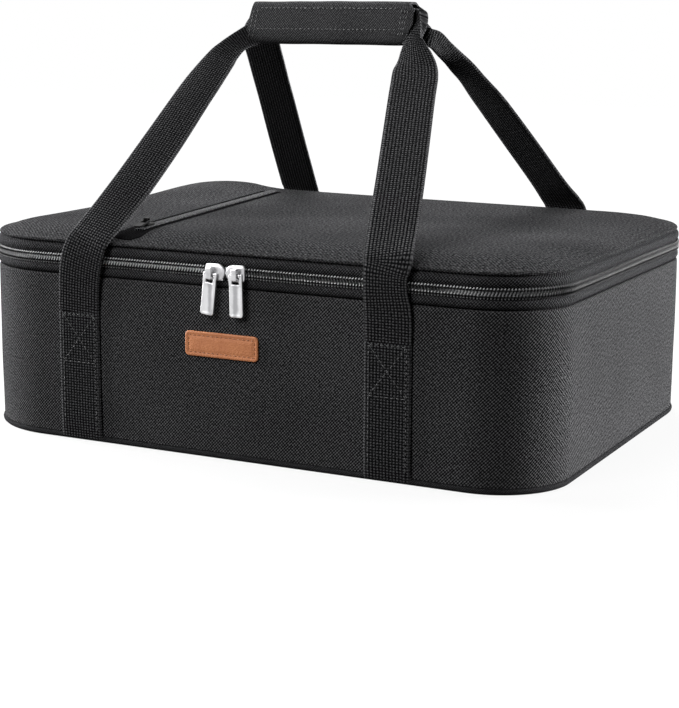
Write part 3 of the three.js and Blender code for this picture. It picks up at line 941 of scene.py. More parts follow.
@dataclass(frozen=True)
class Stitching:
    """Rows of lock stitches that lie on a surface."""

    length: float
    gap: float
    thickness: float
    sink: float

    def sew(self, form: Form, line: Sequence[Vector], normals: Sequence[Vector]) -> None:
        """Sew along a line.

        Args:
            form: The mesh to add to.
            line: Points of the line, on the surface.
            normals: The surface's normal at each point.
        """
        marks = lengths(line)
        pitch = self.length + self.gap
        count = max(int(marks[-1] / pitch), 1)
        frames = []
        for i in range(count):
            middle = (i + 0.5) * marks[-1] / count
            index = next(k for k in range(1, len(marks)) if marks[k] >= middle or k == len(marks) - 1)
            span = max(marks[index] - marks[index - 1], 1e-9)
            share = (middle - marks[index - 1]) / span
            point = line[index - 1].lerp(line[index], share)
            normal = normals[index - 1].lerp(normals[index], share).normalized()
            ahead = (line[index] - line[index - 1]).normalized()
            side = normal.cross(ahead)
            shape = Matrix.Diagonal((self.length, self.thickness, self.thickness, 1.0))
            frames.append(Matrix.Translation(point - normal * self.sink) @ axes(ahead, side, normal) @ shape)
        form.beads(frames, 6, 5)


@dataclass(frozen=True)
class Layout:
    """Heights and places that the pieces share, read from the CAD frame."""

    plan: BoxPlan
    wall_foot: float
    wall_top: float
    zip_centre: float
    lid_foot: float
    lid_top: float
    strap_width: float
    sewn_top: float

    @classmethod
    def from_frame(cls, radius: float, front_right: float) -> Layout:
        """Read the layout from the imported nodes."""
        wall_low, wall_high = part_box("wall_fabric")
        lid_low, lid_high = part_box("lid_panel")
        strap_low, strap_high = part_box("front_right_strap")
        coil_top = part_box("lower_zip_coil")[1].z
        coil_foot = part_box("upper_zip_coil")[0].z
        return cls(
            plan=BoxPlan(wall_high.x, wall_high.y, radius, front_right),
            wall_foot=wall_low.z,
            wall_top=wall_high.z,
            zip_centre=(coil_top + coil_foot) / 2,
            lid_foot=lid_low.z,
            lid_top=lid_high.z,
            strap_width=strap_high.x - strap_low.x,
            sewn_top=strap_high.z,
        )


def slab(insets: Sequence[float], top: float, edge: Line, foot: float) -> Line:
    """Return rings over the top of a flat piece, round its edge and back under it."""
    return [(inset, top) for inset in reversed(insets)] + edge + [(inset, foot) for inset in insets]


@dataclass
class BoxShell:
    """The outside of the box: walls, bottom, piping and the foam inside them."""

    layout: Layout
    steps: int = 340
    wall_rows: int = 16
    cloth: float = 1.2 * MM
    bulge: float = 0.3 * MM
    curl: float = 1.5 * MM
    turned_in: float = 5 * MM
    piping: float = 2.0 * MM
    foam_edge: float = 0.8 * MM

    def build(self) -> list[Ridden]:
        """Return the shell's pieces with the body that each rides on."""
        pieces = [self.walls(), self.bottom(), self.welt(), self.wall_padding(), self.base_padding()]
        return [(piece, Body.BOX) for piece in pieces]

    def swell(self, point: Vector, normal: Vector, _inset: float) -> Vector:
        """Return how far the wall stands out: a soft belly with a little unevenness."""
        share = (point.z - self.layout.wall_foot) / (self.layout.wall_top - self.layout.wall_foot)
        arch = math.sin(math.pi * clamp(share))
        fade = arch**0.5
        uneven = fade * ripple(point, 75 * MM, 0.4 * MM), fade * ripple(point, 24 * MM, 0.15 * MM, 4.0)
        return normal * (self.bulge * arch + uneven[0] + uneven[1])

    def walls(self) -> Piece:
        """Make the wall band, its top edge turned in over the zip tape."""
        plan, foot, top = self.layout.plan, self.layout.wall_foot, self.layout.wall_top
        tall = top - self.curl - foot
        rise = [(0.0, foot + tall * i / self.wall_rows) for i in range(self.wall_rows + 1)]
        fold = arc((self.curl, top - self.curl), self.curl, 165, 75, 6)
        inner = [(2.2 * MM, top - 2 * MM), (self.cloth, top - self.turned_in), (self.cloth, foot)]
        form = plan.rings(self.steps, rise + fold + inner, self.swell, is_loop=True)
        piece = form.dress("wall_cloth", OUTER, Slot.OUTER_FABRIC, "wall_fabric")
        return Cut(top - foot + self.turned_in, plan.girth(), Held.STRETCHED, "wall_foam").declare(piece)

    def welt(self) -> Piece:
        """Make the covered cord round the bottom edge."""
        section = arc((self.piping - 1.0 * MM, self.piping), self.piping, 90, 450, 12)[:-1]
        form = self.layout.plan.rings(self.steps, section, is_loop=True)
        return form.dress("bottom_welt", BINDING, Slot.BINDING, "bottom_piping", sharp=Edge.THREAD)

    def bottom(self) -> Piece:
        """Make the bottom panel, a flat sheet with a softened edge."""
        low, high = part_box("bottom_panel")
        plan = self.layout.plan
        edge = plan.half_length - high.x
        insets = [edge + d * MM for d in (0, 2, 6, 20, 45, 60, 100, 150)]
        rows = slab(insets, high.z, [(edge - 0.2 * MM, (low.z + high.z) / 2)], low.z)
        form = plan.rings(self.steps, rows)
        piece = form.dress("bottom_cloth", OUTER, Slot.OUTER_FABRIC, "bottom_panel")
        return Cut(2 * high.y, 2 * high.x, Held.STRETCHED, "base_foam", plan.area(edge)).declare(piece)

    def wall_padding(self) -> Piece:
        """Make the walls' foam, which stands back behind the zip's tape."""
        low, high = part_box("wall_foam")
        face = self.layout.plan.half_length - high.x
        behind = face + 1.1 * MM
        tape_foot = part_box("lower_zip_tape")[0].z - 0.3 * MM
        section = [
            (face + 0.3 * MM, low.z),
            (face, low.z + 1 * MM),
            (face, tape_foot),
            (behind, tape_foot),
            (behind, high.z - 1 * MM),
            (behind + 1 * MM, high.z),
            (face + 4.5 * MM, high.z),
            (face + 5 * MM, high.z - 1 * MM),
            (face + 5 * MM, low.z),
        ]
        form = self.layout.plan.rings(self.steps // 2, section, is_loop=True)
        return stuffed(form.dress("wall_padding", FOAM, Slot.FOAM, "wall_foam"))

    def base_padding(self) -> Piece:
        """Make the base's foam."""
        low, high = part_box("base_foam")
        edge = self.layout.plan.half_length - high.x
        insets = [edge + self.foam_edge, *(edge + d * MM for d in (30, 60, 150))]
        sides = [(edge, high.z - self.foam_edge), (edge, low.z + self.foam_edge)]
        form = self.layout.plan.rings(self.steps, slab(insets, high.z, sides, low.z))
        return stuffed(form.dress("base_padding", FOAM, Slot.FOAM, "base_foam"))


@dataclass
class Lining:
    """The foil inside the box and its bound rim."""

    layout: Layout
    steps: int = 260
    film: float = 0.8 * MM
    turn: float = 7 * MM
    crumple: float = 0.9 * MM
    binding: float = 5.8 * MM
    pressed: float = 0.35

    def build(self) -> list[Ridden]:
        """Return the lining's pieces with the body that each rides on."""
        return [(self.tub(), Body.BOX), (self.rim(), Body.BOX)]

    def tub(self) -> Piece:
        """Make the foil tub, with a soft turn between its floor and its walls."""
        low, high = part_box("body_lining")
        plan, turn = self.layout.plan, self.turn
        edge = plan.half_length - high.x
        face, floor = edge + self.film, low.z + self.film
        rows = [(face + d * MM, floor) for d in (150, 110, 70, 45, 25, 12)]
        rows += arc((face + turn, floor + turn), turn, 270, 180, 6)
        rise = high.z - low.z - self.film - turn
        rows += [(face, floor + turn + rise * t) for t in (0.25, 0.5, 0.75, 1.0)]
        rows += [(edge, high.z), (edge, low.z + turn)]
        rows += [(edge + 0.5 * turn, low.z), (edge + 25 * MM, low.z), (edge + 150 * MM, low.z)]
        step = plan.girth() / self.steps

        def crease(point: Vector, normal: Vector, inset: float) -> Vector:
            if inset < face or point.z < floor + 1 * MM:
                return Vector()
            fade = min(1.0, (high.z - point.z) / (20 * MM))
            return -normal * abs(ripple(point, 40 * MM, self.crumple, 9.0)) * fade

        def mark(column: int, row: int) -> Pair:
            return column * step, rows[row][1]

        form = plan.rings(self.steps, rows, crease, mark)
        piece = form.dress("foil_tub", FOIL, Slot.FOIL, "body_lining")
        tall = high.z - low.z
        area = plan.area(edge) + plan.girth() * tall * 0.95
        return Cut(2 * (high.y + tall), 2 * (high.x + tall), Held.FOLDED, "wall_foam", area).declare(piece)

    def rim(self) -> Piece:
        """Make the binding that is folded over the rim and pressed in along its middle."""
        low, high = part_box("body_rim_binding")
        edge = self.layout.plan.half_length - high.x
        shoulder = high.z - 0.4 * MM
        section = [(edge, low.z), (edge, shoulder)]
        section += arc((edge + self.binding / 2, shoulder), self.binding / 2, 180, 0, 8)[1:-1]
        section += [(edge + self.binding, shoulder), (edge + self.binding, low.z)]
        shares = [self.pressed if z > high.z else 1.0 for _, z in section]
        section = [(inset, low.z + (z - low.z) * share) for (inset, z), share in zip(section, shares)]
        form = self.layout.plan.rings(self.steps, section, is_loop=True)
        return form.dress("rim_tape", BINDING, Slot.BINDING, "body_rim_binding")


@dataclass
class ZipRun:
    """The long zip: two tapes, two rows of coil and the cloth hinge that closes the ring at the back.

    The band is the outer face of a tape: inset and distance from its seam, in millimetres.
    """

    layout: Layout
    hinge_angle: float = 40.0
    step: float = 4.0 * MM
    pitch: float = 2.05 * MM
    tooth: Vector = field(default_factory=lambda: Vector((1.25 * MM, 2.3 * MM, 4.3 * MM)))
    lean: float = math.radians(16)
    tape_thickness: float = 0.8 * MM
    hinge_rows: int = 8
    hinge_belly: float = 0.5 * MM
    band: tuple[Pair, ...] = (
        (3.0, -1.2), (2.6, 0.35), (1.3, 0.75), (0.3, 1.4), (-0.3, 2.4), (-0.45, 3.6),
        (-0.3, 4.8), (0.05, 5.6), (0.7, 6.2), (1.3, 6.8), (1.4, 9.6),
    )

    def build(self) -> list[Ridden]:
        """Return the tapes and coils with the body that each rides on. The hinge is made too and rides on no
        body.
        """
        self.hinge()
        return [
            (self.tape("lower_tape", "lower_zip_tape", -1), Body.BOX),
            (self.tape("upper_tape", "upper_zip_tape", 1), Body.LID),
            (self.coil("lower_coil", "lower_zip_coil", -1, 0.0), Body.BOX),
            (self.coil("upper_coil", "upper_zip_coil", 1, 0.5), Body.LID),
        ]

    def ends(self) -> Pair:
        """Return the lengths round the plan where the zip starts and ends."""
        return self.layout.plan.hinge_ends(self.hinge_angle + 0.5)

    @staticmethod
    def wave(point: Vector) -> float:
        """Return how far the zip waves up or down at a point."""
        return ripple(point, 90 * MM, 0.35 * MM, 2.0)

    def run(self, form: Form, section: Sequence[Pair], start: float, end: float) -> None:
        """Carry a closed section of insets and heights along part of the plan."""
        plan = self.layout.plan
        count = round((end - start) / self.step)
        marks = flat_lengths([*section, section[0]])

        def along(row: int) -> float:
            return start + (end - start) * row / count

        def place(column: int, row: int) -> Vector:
            inset, height = section[column]
            point = plan.within(along(row), inset, height)
            return point + UP * self.wave(point)

        def mark(column: int, row: int) -> Pair:
            return along(row), marks[column]

        form.draw(len(section), count + 1, place, mark)

    def tape(self, name: str, node: str, towards: int) -> Piece:
        """Make one tape: a full cloth band that curls into its seam and dips under the coil.

        Args:
            name: The piece's name.
            node: The CAD node that it stands for.
            towards: -1 for the tape under the middle of the zip, 1 for the one over it.

        Returns:
            The tape.
        """
        seam = self.layout.wall_top if towards < 0 else self.layout.lid_foot - 0.3 * MM
        outer = [(inset * MM, seam - towards * d * MM) for inset, d in self.band][::-towards]
        inner = [(inset + self.tape_thickness, z) for inset, z in reversed(outer)]
        start, end = self.ends()
        form = Form()
        self.run(form, outer + inner, start, end)
        piece = form.dress(name, TAPE, Slot.ZIP_TAPE, node)
        foam = "wall_foam" if towards < 0 else "lid_foam"
        return Cut(flat_lengths(outer)[-1], end - start, Held.STRETCHED, foam).declare(piece)

    def coil(self, name: str, node: str, towards: int, shift: float) -> Piece:
        """Make one row of the coil.

        Args:
            name: The piece's name.
            node: The CAD node that it stands for.
            towards: -1 for the row under the middle of the zip, 1 for the one over it.
            shift: Share of the pitch that the row is moved along.

        Returns:
            The row, a small leaning bead for each turn and a core cord behind them.
        """
        plan = self.layout.plan
        start, end = self.ends()
        count = int((end - start) / self.pitch)
        form = Form()
        frames = []
        offset = towards * (self.tooth.z / 2 - 0.75 * MM)
        for i in range(count):
            length = start + (i + 0.5 + shift) * (end - start) / (count + 1)
            point, normal = plan.at(length)
            ahead = UP.cross(normal)
            lift = self.wave(point)
            middle = point - normal * 0.15 * MM + UP * (self.layout.zip_centre + offset + lift)
            shape = Matrix.Rotation(self.lean, 4, "Y") @ Matrix.Diagonal((*self.tooth, 1.0))
            frames.append(Matrix.Translation(middle) @ axes(ahead, normal, UP) @ shape)
        form.beads(frames)
        core = arc((0.9 * MM, self.layout.zip_centre + towards * 1.7 * MM), 0.8 * MM, 0, 360, 6)[:-1]
        self.run(form, core, start, end)
        return form.dress(name, COIL, Slot.ZIP_COIL, node, sharp=Edge.COIL)

    def hinge(self) -> None:
        """Make the cloth hinge across the back, between the box and the lid."""
        plan = self.layout.plan
        left_end, right_end = plan.hinge_ends(self.hinge_angle)
        low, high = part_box("lid_hinge_strip")
        shares = [i / self.hinge_rows for i in range(self.hinge_rows + 1)]
        tall = high.z - low.z
        face = [(0.3 * MM - self.hinge_belly * math.sin(math.pi * t), low.z + tall * t) for t in shares]
        section = face + [(inset + 1.2 * MM, z) for inset, z in reversed(face)]
        form = Form()
        self.run(form, section, right_end - plan.girth(), left_end)
        piece = form.dress("hinge_cloth", OUTER, Slot.OUTER_FABRIC, "lid_hinge_strip")
        reach = left_end + plan.girth() - right_end
        Cut(tall, reach, Held.STRETCHED, "wall_foam").declare(piece)
        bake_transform(piece)


@dataclass
class Lid:
    """The padded lid: its domed cloth, foam, foil and binding."""

    layout: Layout
    steps: int = 340
    rim_rise: float = 0.9 * MM
    crown_run: float = 35 * MM
    tilt: float = 3.2 * MM
    swelling: float = 6.0 * MM
    swelling_at: Pair = (-168 * MM, 100 * MM)
    swelling_spread: Pair = (27 * MM, 55 * MM)
    seam_hold: Pair = (3 * MM, 32 * MM)
    zip_hold: Pair = (6 * MM, 28 * MM)
    cloth: float = 1.2 * MM
    hem: float = 4 * MM
    layer_rim: float = 3.2 * MM
    pocket_front: Vector = field(default_factory=lambda: Vector((-81, -131, 0)) * MM)
    pocket_back: Vector = field(default_factory=lambda: Vector((-120, 110, 0)) * MM)

    def build(self) -> list[Ridden]:
        """Return the lid's pieces with the body that each rides on."""
        pieces = [self.cover(), self.padding(), self.lining(), self.rim(), self.pouch()]
        return [(piece, Body.LID) for piece in pieces]

    def height(self, inset: float) -> float:
        """Return the height of the lid's even crown at an inset from its edge."""
        rim = self.layout.lid_foot + self.rim_rise
        fall = 1 - min(max(inset, 0) / self.crown_run, 1)
        return rim + (self.layout.lid_top - 0.3 * MM - rim) * (1 - fall**2)

    def sag(self, point: Vector, inset: float) -> float:
        """Return how far the cloth is over the even crown: down at the back right, up at the back left."""
        flat = Vector((point.x, point.y, 0))
        side = -point.x / self.layout.plan.half_length
        slope = self.tilt * (side if side < 0 else 0.5 * side) * ease((point.y + 90 * MM) / (190 * MM))
        (x, y), (wide, deep) = self.swelling_at, self.swelling_spread
        far = ((point.x - x) / wide) ** 2 + ((point.y - y) / deep) ** 2
        swell = self.swelling * math.exp(-0.5 * far)
        uneven = ripple(flat, 120 * MM, 0.6 * MM, 3.0) + ripple(flat, 38 * MM, 0.15 * MM, 6.0)
        start, run = self.seam_hold
        return (slope + swell + uneven) * ease((inset - start) / run) * self.slack(flat)

    def slack(self, point: Vector) -> float:
        """Return 0 along the pocket's zip, which holds the cloth down, and 1 away from it."""
        run = self.pocket_back - self.pocket_front
        ahead = point - self.pocket_front
        share = clamp(ahead.dot(run) / run.length_squared)
        start, rise = self.zip_hold
        return ease(((ahead - run * share).length - start) / rise)

    def on_cloth(self, point: Vector, rise: float) -> Vector:
        """Return the place at a rise over the lid's cloth, at a point of the plan."""
        plan = self.layout.plan
        inset = min(plan.half_length - abs(point.x), plan.half_depth - abs(point.y))
        return Vector((point.x, point.y, self.height(inset) + self.sag(point, inset) + rise))

    def lift(self, point: Vector, _normal: Vector, inset: float) -> Vector:
        """Return how a point of an even layer moves with the uneven crown."""
        return UP * self.sag(point, inset)

    def cover(self) -> Piece:
        """Make the lid's cloth: a turned-in foot at the seam, and the dome."""
        foot = self.layout.lid_foot
        plan = self.layout.plan
        insets = [d * MM for d in (4.2, 5.6, 8, 12, 17, 23, 30, 38, 47, 58, 72, 88, 104, 120, 136, 150)]
        under = [(inset, self.height(inset) - self.cloth) for inset in reversed(insets)]
        turned = ((4.0, 1.6), (3.7, 0.5), (3.0, 0.1), (1.5, 0.0), (0.8, 0.5))
        brim = ((0.6, 1.1), (0.9, 1.8), (1.8, 2.4), (3.0, 2.5))
        edge = [(inset * MM, foot + rise * MM) for inset, rise in turned + brim]
        rows = under + edge + [(inset, self.height(inset)) for inset in insets]
        step = plan.girth() / self.steps
        marks = flat_lengths(rows)
        outermost = marks[len(under) + len(turned)]

        def mark(column: int, row: int) -> Pair:
            return tuple(plan.within(column * step, marks[row] - outermost, 0.0).xy)

        form = plan.rings(self.steps, rows, self.lift, mark)
        piece = form.dress("lid_cloth", LID_CLOTH, Slot.OUTER_FABRIC, "lid_panel")
        size = 2 * (plan.half_depth + self.hem), 2 * (plan.half_length + self.hem)
        return Cut(*size, Held.STRETCHED, "lid_foam", plan.area(-self.hem)).declare(piece)

    def layer(
        self, name: str, depths: Pair, rim: float, finish: Finish, slot: Slot, node: str
    ) -> Piece:
        """Make a layer that follows the dome.

        Args:
            name: The piece's name.
            depths: How far its upper and its lower face are under the lid's cloth.
            rim: Inset of its edge.
            finish: Its finish.
            slot: The record's slot.
            node: The CAD node that it stands for.

        Returns:
            The layer.
        """
        top, bottom = depths
        plan = self.layout.plan
        insets = [rim + d * MM for d in (0, 1.5, 5, 12, 24, 40, 55, 90, 145)]
        crown = [self.height(inset) - 0.3 * MM for inset in insets]
        rows = [(inset, z - bottom) for inset, z in zip(reversed(insets), reversed(crown))]
        rows += [(rim - 0.2 * MM, crown[0] - (top + bottom) / 2)]
        rows += [(inset, z - top) for inset, z in zip(insets, crown)]
        return plan.rings(self.steps // 2, rows, self.lift).dress(name, finish, slot, node)

    def padding(self) -> Piece:
        """Make the lid's foam."""
        depths = 2.6 * MM, 7.3 * MM
        return stuffed(self.layer("lid_padding", depths, self.layer_rim, FOAM, Slot.FOAM, "lid_foam"))

    def lining(self) -> Piece:
        """Make the lid's foil."""
        rim, plan = self.layer_rim, self.layout.plan
        piece = self.layer("lid_foil", (7.6 * MM, 8.4 * MM), rim, FOIL, Slot.FOIL, "lid_lining")
        size = 2 * (plan.half_depth - rim), 2 * (plan.half_length - rim)
        return Cut(*size, Held.STRETCHED, "lid_foam", plan.area(rim)).declare(piece)

    def rim(self) -> Piece:
        """Make the binding round the lid's lower edge."""
        low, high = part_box("lid_rim_binding")
        edge = self.layout.plan.half_length - high.x
        width = 5.8 * MM
        section = [
            (edge, high.z),
            (edge + 0.2 * MM, low.z + 0.4 * MM),
            (edge + 1.2 * MM, low.z),
            (edge + width - 1.2 * MM, low.z),
            (edge + width - 0.2 * MM, low.z + 0.4 * MM),
            (edge + width, high.z),
        ]
        form = self.layout.plan.rings(self.steps // 2, section, is_loop=True)
        return form.dress("lid_rim_tape", BINDING, Slot.BINDING, "lid_rim_binding")

    def pouch(self) -> Piece:
        """Make the pocket's hidden pouch, a sheet that lies between the lid's cloth and its foam."""
        low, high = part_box("pocket_pouch")
        near = Vector((low.x + 14 * MM, low.y + 14 * MM))
        size = Vector((high.x, high.y - 14 * MM)) - near
        shares = [i / 12 for i in range(13)]
        section = [(share, -2.3 * MM) for share in shares]
        section += [(share, -1.6 * MM) for share in reversed(shares)]
        rows = 24

        def place(column: int, row: int) -> Vector:
            share, depth = section[column]
            return self.on_cloth(Vector((near.x + size.x * share, near.y + size.y * row / rows, 0)), depth)

        def mark(column: int, row: int) -> Pair:
            return size.x * section[column % len(section)][0], size.y * row / rows

        form = Form().draw(len(section), rows + 1, place, mark)
        piece = form.dress("pocket_bag", TAPE, Slot.ZIP_TAPE, "pocket_pouch", sharp=Edge.CAST)
        return Cut(size.x, size.y, Held.LAID, "lid_foam").declare(piece)


@dataclass
class Pocket:
    """The zip of the lid's pocket, which slants across the lid, with its black slider and pull."""

    lid: Lid
    lead: float = 22 * MM
    nose: float = 9 * MM
    welt_half: float = 3.0 * MM
    welt_rise: float = 1.3 * MM
    groove: Pair = (-9.5 * MM, 6.8 * MM)

    def build(self) -> list[Ridden]:
        """Return the pocket's pieces with the body that each rides on."""
        return [
            (self.bed(), Body.LID),
            (self.welt(), Body.LID),
            (self.slider(), Body.POCKET_SLIDER),
            (self.pull(), Body.POCKET_PULL),
        ]

    def turn(self) -> Matrix:
        """Return the turn from the zip's own right, back and up to the frame's."""
        run = (self.lid.pocket_back - self.lid.pocket_front).normalized()
        return axes(Vector((run.y, -run.x, 0)), run, UP)

    def spot(self, along: float, aside: float, rise: float) -> Vector:
        """Return a point over the lid's cloth.

        Args:
            along: Distance from the zip's front end towards its back end.
            aside: Distance to the right of its line.
            rise: Height over the cloth.

        Returns:
            The point.
        """
        point = self.lid.pocket_front + self.turn() @ Vector((aside, along, 0))
        return self.lid.on_cloth(point, rise)

    def strip(
        self, name: str, start: float, sides: Pair, foot: float, rise: float, finish: Finish, *nodes: str
    ) -> Piece:
        """Make a low rounded strip along the pocket's line, its left side spread at the front end.

        Args:
            name: The piece's name.
            start: Where it starts along the pocket's line.
            sides: Its left and right side.
            foot: Height of its underside over the cloth.
            rise: Its thickness.
            finish: Its finish.
            *nodes: CAD nodes that it stands for.

        Returns:
            The strip.
        """
        left, right = sides
        section = [(left, 0.0), (right, 0.0)]
        section += arc((right - 0.5 * rise, 0.4 * rise), 0.6 * rise, 0, 90, 3)
        section += arc((left + 0.5 * rise, 0.4 * rise), 0.6 * rise, 90, 180, 3)
        end = (self.lid.pocket_back - self.lid.pocket_front).length + 4 * MM
        rows = 64

        def place(column: int, row: int) -> Vector:
            aside, height = section[column]
            along = start + (end - start) * row / rows
            # For the bed, the left side spreads at the front end, so its near-black colour also paints a dark
            # patch there, standing in for the black pocket slider in shade.
            spread = 1 + 0.9 * ease(-along / self.lead) if aside < -self.welt_half - 1 * MM else 1
            past = max(self.nose - self.lead - along, 0) / self.nose
            return self.spot(along, aside * spread * math.sqrt(1.02 - past**2), foot + height)

        def mark(column: int, row: int) -> Pair:
            return section[column % len(section)][0], (end - start) * row / rows

        form = Form().draw(len(section), rows + 1, place, mark)
        return form.dress(name, finish, Slot.ZIP_TAPE, *nodes, sharp=Edge.FOLD)

    def bed(self) -> Piece:
        """Make the tape that shows at both sides of the welt, near black as painted shade for the grooves
        there.
        """
        rise = 0.25 * MM, 0.35 * MM
        return self.strip("pocket_shaded_tape", -self.lead, self.groove, *rise, POCKET_SHADED_TAPE, "pocket_zip")

    def welt(self) -> Piece:
        """Make the raised cloth welt over the zip."""
        sides = -self.welt_half, self.welt_half
        return self.strip("pocket_welt", -6 * MM, sides, 0.3 * MM, self.welt_rise, WELT)

    def slider(self) -> Piece:
        """Make the small black slider: a rounded plate and a bridge for the pull."""
        low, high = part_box("pocket_slider")
        middle = (low + high) / 2
        frame = Matrix.Translation((middle.x, middle.y, low.z)) @ self.turn()
        corner = Vector((4 * MM, 6 * MM))
        radii = (2.4 * MM, 2.4 * MM, 1.4 * MM, 1.4 * MM)
        levels = ((0.3, 0.0), (0.0, 0.3), (0.0, 1.0), (0.4, 1.3), (1.0, 1.4), (2.4, 1.5))
        form = Form()
        form.plate(-corner, corner, radii, levels, frame)
        top = high.z - low.z
        bar = Vector((1.3 * MM, 2.5 * MM, top))
        form.block(Vector((-bar.x, -bar.y, top - 1 * MM)), bar, 0.35 * MM, turn=frame)
        for post in (-2.5 * MM, 1.5 * MM):
            foot = Vector((-bar.x, post, 1.0 * MM))
            form.block(foot, Vector((bar.x, post + 1 * MM, top - 0.3 * MM)), 0.25 * MM, turn=frame)
        return form.dress(
            "pocket_slider_cast", BLACK_PLATED, Slot.BLACK_METAL, "pocket_slider", sharp=Edge.CAST
        )

    def pull(self) -> Piece:
        """Make the small black pull, a tab with an eye, that hangs a little forwards."""
        low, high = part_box("pocket_pull")
        half = Vector((3 * MM, 8 * MM, (high.z - low.z) / 2))
        eye, leg, axis = 6.4 * MM, 1.3 * MM, half.y - 0.6 * MM
        hang = Matrix.Translation((0, axis, 0)) @ Matrix.Rotation(math.radians(8), 4, "X")
        frame = Matrix.Translation((low + high) / 2) @ self.turn() @ hang @ Matrix.Translation((0, -axis, 0))
        radii = (1 * MM, 1 * MM, 2.2 * MM, 2.2 * MM)
        thick = half.z / MM
        levels = ((0.3, -thick), (0.0, -0.5 * thick), (0.0, 0.5 * thick), (0.35, thick), (1.2, thick))
        form = Form()
        form.plate((-half.x, -half.y), (half.x, half.y - eye), radii, levels, frame)
        for x in (-half.x, half.x - leg):
            foot = Vector((x, half.y - eye - 1 * MM, -half.z))
            form.block(foot, Vector((x + leg, half.y, half.z)), 0.4 * MM, turn=frame)
        form.block(Vector((-half.x, half.y - 1.2 * MM, -half.z)), half, 0.4 * MM, turn=frame)
        return form.dress("pocket_pull_cast", BLACK_PLATED, Slot.BLACK_METAL, "pocket_pull", sharp=Edge.CAST)


FACING_FRONT = Matrix.Rotation(math.pi / 2, 4, "X")


@dataclass
class ZipSlider:
    """One of the two plated sliders that meet at the front, with its pull tab."""

    side: str
    slider_body: Body
    pull_body: Body
    hang: float

    def build(self) -> list[Ridden]:
        """Return the slider and the pull with the body that each rides on."""
        return [(self.slider(), self.slider_body), (self.pull(), self.pull_body)]

    def slider(self) -> Piece:
        """Make the slider: a plate with a round nose, a lip under the coil and a bridge for the pull."""
        node = f"{self.side}_slider"
        low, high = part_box(node)
        pull_low, pull_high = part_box(f"{self.side}_pull")
        bridge = (pull_low.x + pull_high.x) / 2
        back = high.y - 2.5 * MM
        face = back - 2.2 * MM
        nose, heel, toe = 5.2 * MM, 1.6 * MM, 2.4 * MM
        radii = (nose, heel, toe, nose) if self.side == "left" else (heel, nose, nose, toe)
        levels = ((0.5, 0.0), (0.0, 0.4), (0.0, 1.3), (0.35, 1.85), (1.0, 2.2), (1.9, 2.3), (3.2, 2.5))
        form = Form()
        form.plate((low.x, low.z), (high.x, high.z), radii, levels, FACING_FRONT, back)
        lip = Vector((low.x + 1.4 * MM, face + 0.8 * MM, low.z + 0.2 * MM))
        form.block(lip, Vector((high.x - 1.4 * MM, high.y, low.z + 1.6 * MM)), 0.5 * MM)
        half = 2.0 * MM
        middle = (low.z + high.z) / 2
        foot, top = middle - 3.7 * MM, middle + 3.7 * MM
        bar = Vector((bridge - half, low.y, foot))
        form.block(bar, Vector((bridge + half, low.y + 1.5 * MM, top)), 0.7 * MM)
        for post in (foot, top - 1.5 * MM):
            near = Vector((bridge - half, low.y + 0.3 * MM, post))
            form.block(near, Vector((bridge + half, face + 0.6 * MM, post + 1.5 * MM)), 0.5 * MM)
        return form.dress(f"{node}_cast", PLATED, Slot.SLIDER_METAL, node, sharp=Edge.CAST)

    def pull(self) -> Piece:
        """Make the pull: a flat tab with a raised rim and a small eye round the bridge."""
        node = f"{self.side}_pull"
        low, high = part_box(node)
        eye_foot = high.z - 6.2 * MM
        leg = 2.2 * MM
        thick = (high.y - low.y) / MM
        radii = (1.0 * MM, 1.0 * MM, 1.8 * MM, 1.8 * MM)
        levels = ((0.3, 0.0), (0.0, 0.35), (0.0, thick - 0.6), (0.25, thick - 0.2), (0.7, thick))
        levels += ((1.3, thick), (1.8, thick - 0.25), (3.2, thick - 0.3))
        form = Form()
        form.plate((low.x, low.z), (high.x, eye_foot), radii, levels, FACING_FRONT, high.y)
        for x in (low.x, high.x - leg):
            form.block(Vector((x, low.y, eye_foot - 1.5 * MM)), Vector((x + leg, high.y, high.z)), 0.6 * MM)
        form.block(Vector((low.x, low.y, high.z - 2.0 * MM)), high, 0.7 * MM)
        rung = Vector(((low.x + high.x) / 2, (low.y + high.y) / 2, high.z - 1 * MM))
        swing = Matrix.Translation(rung) @ Matrix.Rotation(self.hang, 4, "Y") @ Matrix.Translation(-rung)
        bmesh.ops.transform(form.mesh, matrix=swing, verts=form.mesh.verts)
        return form.dress(f"{node}_cast", PULL_PLATED, Slot.SLIDER_METAL, node, sharp=Edge.CAST)


@dataclass(frozen=True)
class StrapStation:
    """One place on a strap: its middle, the way to its right edge, its width and thickness, and its curl."""

    point: Triple
    across: Triple = (1.0, 0.0, 0.0)
    width: float = 31.5
    thickness: float = 2.0
    cup: float = 0.0


StrapPlace = tuple[Vector, Vector, float, float, float]


def station_between(stations: Sequence[StrapStation], share: float) -> StrapPlace:
    """Return place, across, width, thickness and cup on a smooth curve through the stations.

    Args:
        stations: The stations, in order.
        share: 0 at the first, and 1 more at each next one.

    Returns:
        The values there, lengths in metres.
    """
    index = min(int(share), len(stations) - 2)
    t = share - index
    near = [stations[min(max(index + k, 0), len(stations) - 1)] for k in (-1, 0, 1, 2)]
    weights = (
        -0.5 * t + t**2 - 0.5 * t**3,
        1 - 2.5 * t**2 + 1.5 * t**3,
        0.5 * t + 2 * t**2 - 1.5 * t**3,
        -0.5 * t**2 + 0.5 * t**3,
    )

    def blend(values: Iterable[float]) -> float:
        return sum(w * v for w, v in zip(weights, values))

    point = Vector([blend(s.point[k] for s in near) for k in range(3)]) * MM
    across = Vector([blend(s.across[k] for s in near) for k in range(3)]).normalized()
    sizes = ("width", "thickness", "cup")
    width, thickness, cup = (blend(getattr(s, size) for s in near) * MM for size in sizes)
    return point, across, width, thickness, cup


